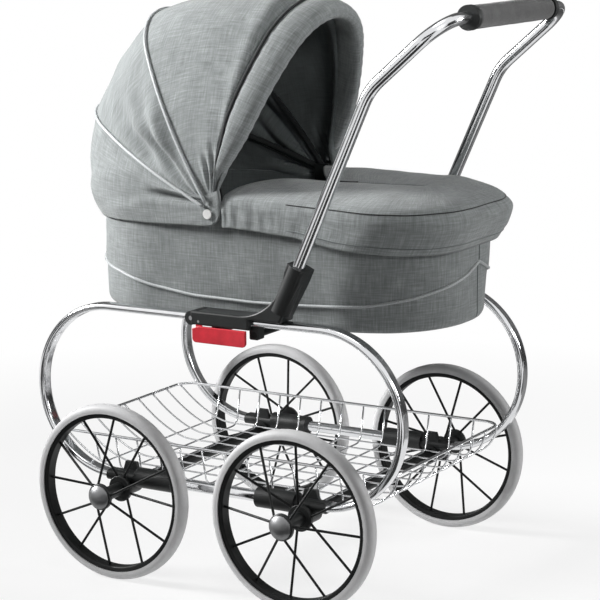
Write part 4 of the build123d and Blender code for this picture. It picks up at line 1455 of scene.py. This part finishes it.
    def roll(self) -> None:
        """Make the padded roll round the opening, narrow at its feet, and a near-black cord along
        its seam that paints the shade in the groove behind the roll.
        """
        flat = self.arch(self.roll_half_width, self.roll_height, self.roll_crown, self.roll_foot,
                         self.roll_columns)
        line = self.place(flat, self.axis.x, self.axis.z, self.roll_angle)
        angle = math.radians(self.roll_angle)
        forward = Vector((math.sin(angle), 0, -math.cos(angle)))
        last = len(line) - 1
        rows, seam_path = [], []
        for i, p in enumerate(line):
            a, b = line[max(0, i - 1)], line[min(last, i + 1)]
            outward = (b - a).normalized().cross(forward)
            if outward.dot(p - self.axis) < 0:
                outward.negate()
            s = i / last
            edge = min(s, 1 - s)
            front = self.roll_wide * self.swollen(edge, self.roll_wide_foot, self.roll_wide_reach)
            rear = self.roll_rear * float(np.interp(edge, self.rear_round, self.rear_share))
            deep = self.roll_deep * self.swollen(edge, self.roll_deep_foot, self.roll_deep_reach)
            sewn = p - forward * (rear + self.shade_cord_gap) + outward * deep * self.seam_proud
            seam_path.append(sewn)
            row = []
            for phi in np.linspace(0, 2 * math.pi, 36, endpoint=False):
                cu, cv = math.cos(phi), math.sin(phi)
                wave = math.sin(self.roll_gathers * s + 2 * phi + 2 * math.sin(11 * s))
                pinch = 1 - self.roll_pinch * wave**2
                u = (front if cu > 0 else rear) * pinch * math.copysign(abs(cu) ** 0.8, cu)
                v = deep * pinch * math.copysign(abs(cv) ** 0.75, cv)
                row.append(p + forward * u + outward * v)
            rows.append(row)
        piece = settle_normals(grid_object("hood_front_roll", rows, True))
        self.seat(piece, "hood_front", Slot.CLOTH, self.palette.cloth)
        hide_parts("hood_roll")
        # Near-black cord where the roll is sewn to the main panel: painted shade of the groove.
        seam = tube_object("roll_seam", seam_path[2:-2], self.seam_radius, 10)
        self.seat(seam, "hood_front", Slot.CLOTH, self.palette.shadow_cord)


# Stage


@dataclass(frozen=True)
class Lamp:
    """One soft round lamp aimed at the pram."""

    name: str
    place: Point
    size: float
    power: float
    aim: Point
    spread: float


@dataclass(frozen=True)
class Card:
    """One dark card flat on the floor that only mirror rays see."""

    name: str
    start: tuple[float, float]
    end: tuple[float, float]
    width: float
    tone: float


@dataclass(frozen=True)
class Flag:
    """One dark curved screen far off that only mirror rays see, with its angles from +X."""

    name: str
    start: float
    end: float
    radius: float
    high: float
    tone: float


@dataclass
class Studio:
    """Floor, soft lights, dark cards and screens for the chrome and the photograph's camera."""

    azimuth: float = 31.27
    elevation: float = 10.35
    roll: float = -0.76
    distance: float = 2.483
    target: Point = (0.0384, -0.0088, 0.3496)
    lens: float = 125.95
    sensor: float = 36.0
    shift: tuple[float, float] = (-0.01005, -0.04382)
    floor_half: float = 9.0
    floor_tone: float = 0.92
    floor_rough: float = 0.9
    shadow_share: float = 0.72
    shadow_reach: float = 1.25
    matt: float = 0.95
    surround: float = 0.105
    card_z: float = 0.002
    screen_points: int = 13
    lamps: tuple[Lamp, ...] = (
        Lamp("key", (-1.8, -0.65, 1.30), 0.7, 6.9, (-0.27, -0.08, 0.62), 41.0),
        Lamp("fill", (1.9, 1.20, 0.95), 0.8, 9.6, (0.15, 0.0, 0.40), 120.0),
        Lamp("top", (0.1, -0.4, 2.4), 0.9, 2.5, (-0.05, 0.0, 0.45), 100.0),
        Lamp("hood_fill", (1.5, -0.9, 1.15), 0.4, 0.22, (-0.05, 0.03, 0.56), 22.0),
    )
    cards: tuple[Card, ...] = (
        Card("right_card", (0.20, -0.26), (2.0, -1.85), 0.50, 0.03),
        Card("front_card", (-0.18, -0.62), (-0.05, -2.6), 0.78, 0.10),
        Card("side_card", (-0.80, -0.35), (0.15, -0.35), 0.16, 0.04),
        Card("far_card", (0.55, 0.20), (2.0, 0.62), 0.45, 0.16),
        Card("head_card", (-0.45, -0.53), (-1.75, -2.42), 0.42, 0.12),
        Card("mid_card", (0.02, -0.52), (-0.75, -1.78), 0.18, 0.10),
        Card("back_card", (-0.60, 0.25), (-2.0, 0.85), 0.45, 0.12),
        Card("behind_card", (-1.7, 1.45), (1.5, 1.45), 2.0, 0.28),
    )
    flags: tuple[Flag, ...] = (
        Flag("right_flag", -8.0, 60.0, 2.7, 1.6, 0.06),
        Flag("camera_flag", -86.0, -38.0, 3.3, 1.15, 0.12),
        Flag("left_flag", 186.0, 226.0, 2.8, 1.5, 0.30),
        Flag("back_flag", 60.0, 186.0, 2.9, 7.0, 0.85),
    )

    def build(self) -> None:
        """Make the floor, the world, the lamps, the cards, the screens and the camera."""
        bpy.context.scene.view_settings.view_transform = "Standard"
        self.floor()
        self.world()
        for lamp in self.lamps:
            self.hang(lamp)
        for card in self.cards:
            self.lay(card)
        for flag in self.flags:
            self.stand(flag)
        self.camera()

    def seen(self, tree: bpy.types.NodeTree) -> Socket:
        """One where the camera, bright metal or glass looks, else zero.

        Args:
            tree: Node tree to add to.

        Returns:
            The value socket.
        """
        path = tree.nodes.new("ShaderNodeLightPath")
        seen = path.outputs["Is Camera Ray"]
        for ray in ("Is Transmission Ray", "Is Glossy Ray"):
            either = tree.nodes.new("ShaderNodeMath")
            either.operation = "MAXIMUM"
            tree.links.new(seen, either.inputs[0])
            tree.links.new(path.outputs[ray], either.inputs[1])
            seen = either.outputs[0]
        return seen

    def floor(self) -> None:
        """Make the pale floor, white to the eye but for the pram's soft shadow."""
        half = self.floor_half
        verts = [(-half, -half, 0), (half, -half, 0), (half, half, 0), (-half, half, 0)]
        piece = mesh_object("studio_floor", verts, [(0, 1, 2, 3)])
        n = Nodes("studio_floor")
        set_sockets(n.shader, Base_Color=(*grey(self.floor_tone), 1.0),
                    Roughness=self.floor_rough)
        glow, mix, away = n.add("Emission"), n.add("MixShader"), n.add("VectorMath")
        away.operation = "LENGTH"
        near = 1 / self.shadow_reach
        n.link(n.coords("Object", (near, near, 0.0)), away.inputs[0])
        white = n.span(away.outputs["Value"], self.shadow_share, 1.0)
        n.link(n.math("MULTIPLY", self.seen(n.tree), white), mix.inputs["Fac"])
        n.link(n.shader.outputs["BSDF"], mix.inputs[1])
        n.link(glow.outputs["Emission"], mix.inputs[2])
        n.link(mix.outputs["Shader"], n.output.inputs["Surface"])
        piece.data.materials.append(n.material)
        piece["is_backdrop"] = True

    def world(self) -> None:
        """Make the white surround."""
        world = bpy.data.worlds.new("studio")
        world.use_nodes = True
        bpy.context.scene.world = world
        tree = world.node_tree
        white = (1.0, 1.0, 1.0, 1.0)
        shade = set_sockets(tree.nodes["Background"], Color=white, Strength=self.surround)
        bright = set_sockets(tree.nodes.new("ShaderNodeBackground"), Color=white)
        mix = tree.nodes.new("ShaderNodeMixShader")
        tree.links.new(self.seen(tree), mix.inputs["Fac"])
        tree.links.new(shade.outputs[0], mix.inputs[1])
        tree.links.new(bright.outputs[0], mix.inputs[2])
        tree.links.new(mix.outputs[0], tree.nodes["World Output"].inputs["Surface"])

    def hang(self, lamp: Lamp) -> None:
        """Hang one lamp.

        Args:
            lamp: The lamp.
        """
        data = bpy.data.lights.new(lamp.name, "AREA")
        data.shape = "DISK"
        data.size = lamp.size
        data.energy = lamp.power
        data.spread = math.radians(lamp.spread)
        piece = bpy.data.objects.new(lamp.name, data)
        piece.location = lamp.place
        towards = Vector(lamp.aim) - Vector(lamp.place)
        piece.rotation_euler = towards.to_track_quat("-Z", "Y").to_euler()
        bpy.context.scene.collection.objects.link(piece)

    def lay(self, card: Card) -> None:
        """Lay one dark card where the chrome mirrors it.

        Args:
            card: The card.
        """
        start, end = Vector((*card.start, self.card_z)), Vector((*card.end, self.card_z))
        along = (end - start).normalized()
        across = Vector((-along.y, along.x, 0)) * card.width / 2
        verts = [start - across, end - across, end + across, start + across]
        self.hide(mesh_object(card.name, verts, [(0, 1, 2, 3)]), card.tone)

    def stand(self, flag: Flag) -> None:
        """Stand one dark screen where the chrome mirrors it.

        Args:
            flag: The screen.
        """
        foot = arc(0.0, 0.0, flag.radius, flag.start, flag.end - flag.start, self.screen_points)
        verts = [(x, y, z) for z in (0.0, flag.high) for x, y in foot]
        faces = grid_faces(2, self.screen_points, False, False)
        self.hide(mesh_object(flag.name, verts, faces), flag.tone)

    def hide(self, piece: Piece, tone: float) -> None:
        """Darken a card or screen and show it to mirror rays alone.

        Args:
            piece: The card or screen.
            tone: Its grey.
        """
        n = Nodes(piece.name)
        set_sockets(n.shader, Base_Color=(*grey(tone), 1.0), Roughness=self.matt)
        piece.data.materials.append(n.material)
        piece.visible_camera = False
        piece.visible_diffuse = False
        piece.visible_shadow = False
        piece.visible_transmission = False
        piece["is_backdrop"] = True

    def camera(self) -> None:
        """Place the camera."""
        a, e = math.radians(self.azimuth), math.radians(self.elevation)
        back = Vector((math.sin(a) * math.cos(e), -math.cos(a) * math.cos(e), math.sin(e)))
        data = bpy.data.cameras.new("photo_camera")
        data.lens = self.lens
        data.sensor_width = self.sensor
        data.shift_x, data.shift_y = self.shift
        camera = bpy.data.objects.new("photo_camera", data)
        camera.location = Vector(self.target) + back * self.distance
        camera.rotation_euler = (-back).to_track_quat("-Z", "Y").to_euler()
        camera.rotation_euler.rotate_axis("Z", math.radians(self.roll))
        bpy.context.scene.collection.objects.link(camera)
        bpy.context.scene.camera = camera


def main() -> None:
    """Load the frame, build every sub-assembly and report the pieces."""
    logging.basicConfig(level=logging.INFO, format="%(name)s: %(message)s")
    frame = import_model()
    Studio().build()
    palette = Palette()
    for group in (Wheels, Chassis, Basket, Handle, Bassinet, Apron, Hood):
        group(frame, palette).build()
    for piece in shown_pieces():
        LOG.info("piece %s", piece.name)
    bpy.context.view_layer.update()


if __name__ == "__main__":
    main()
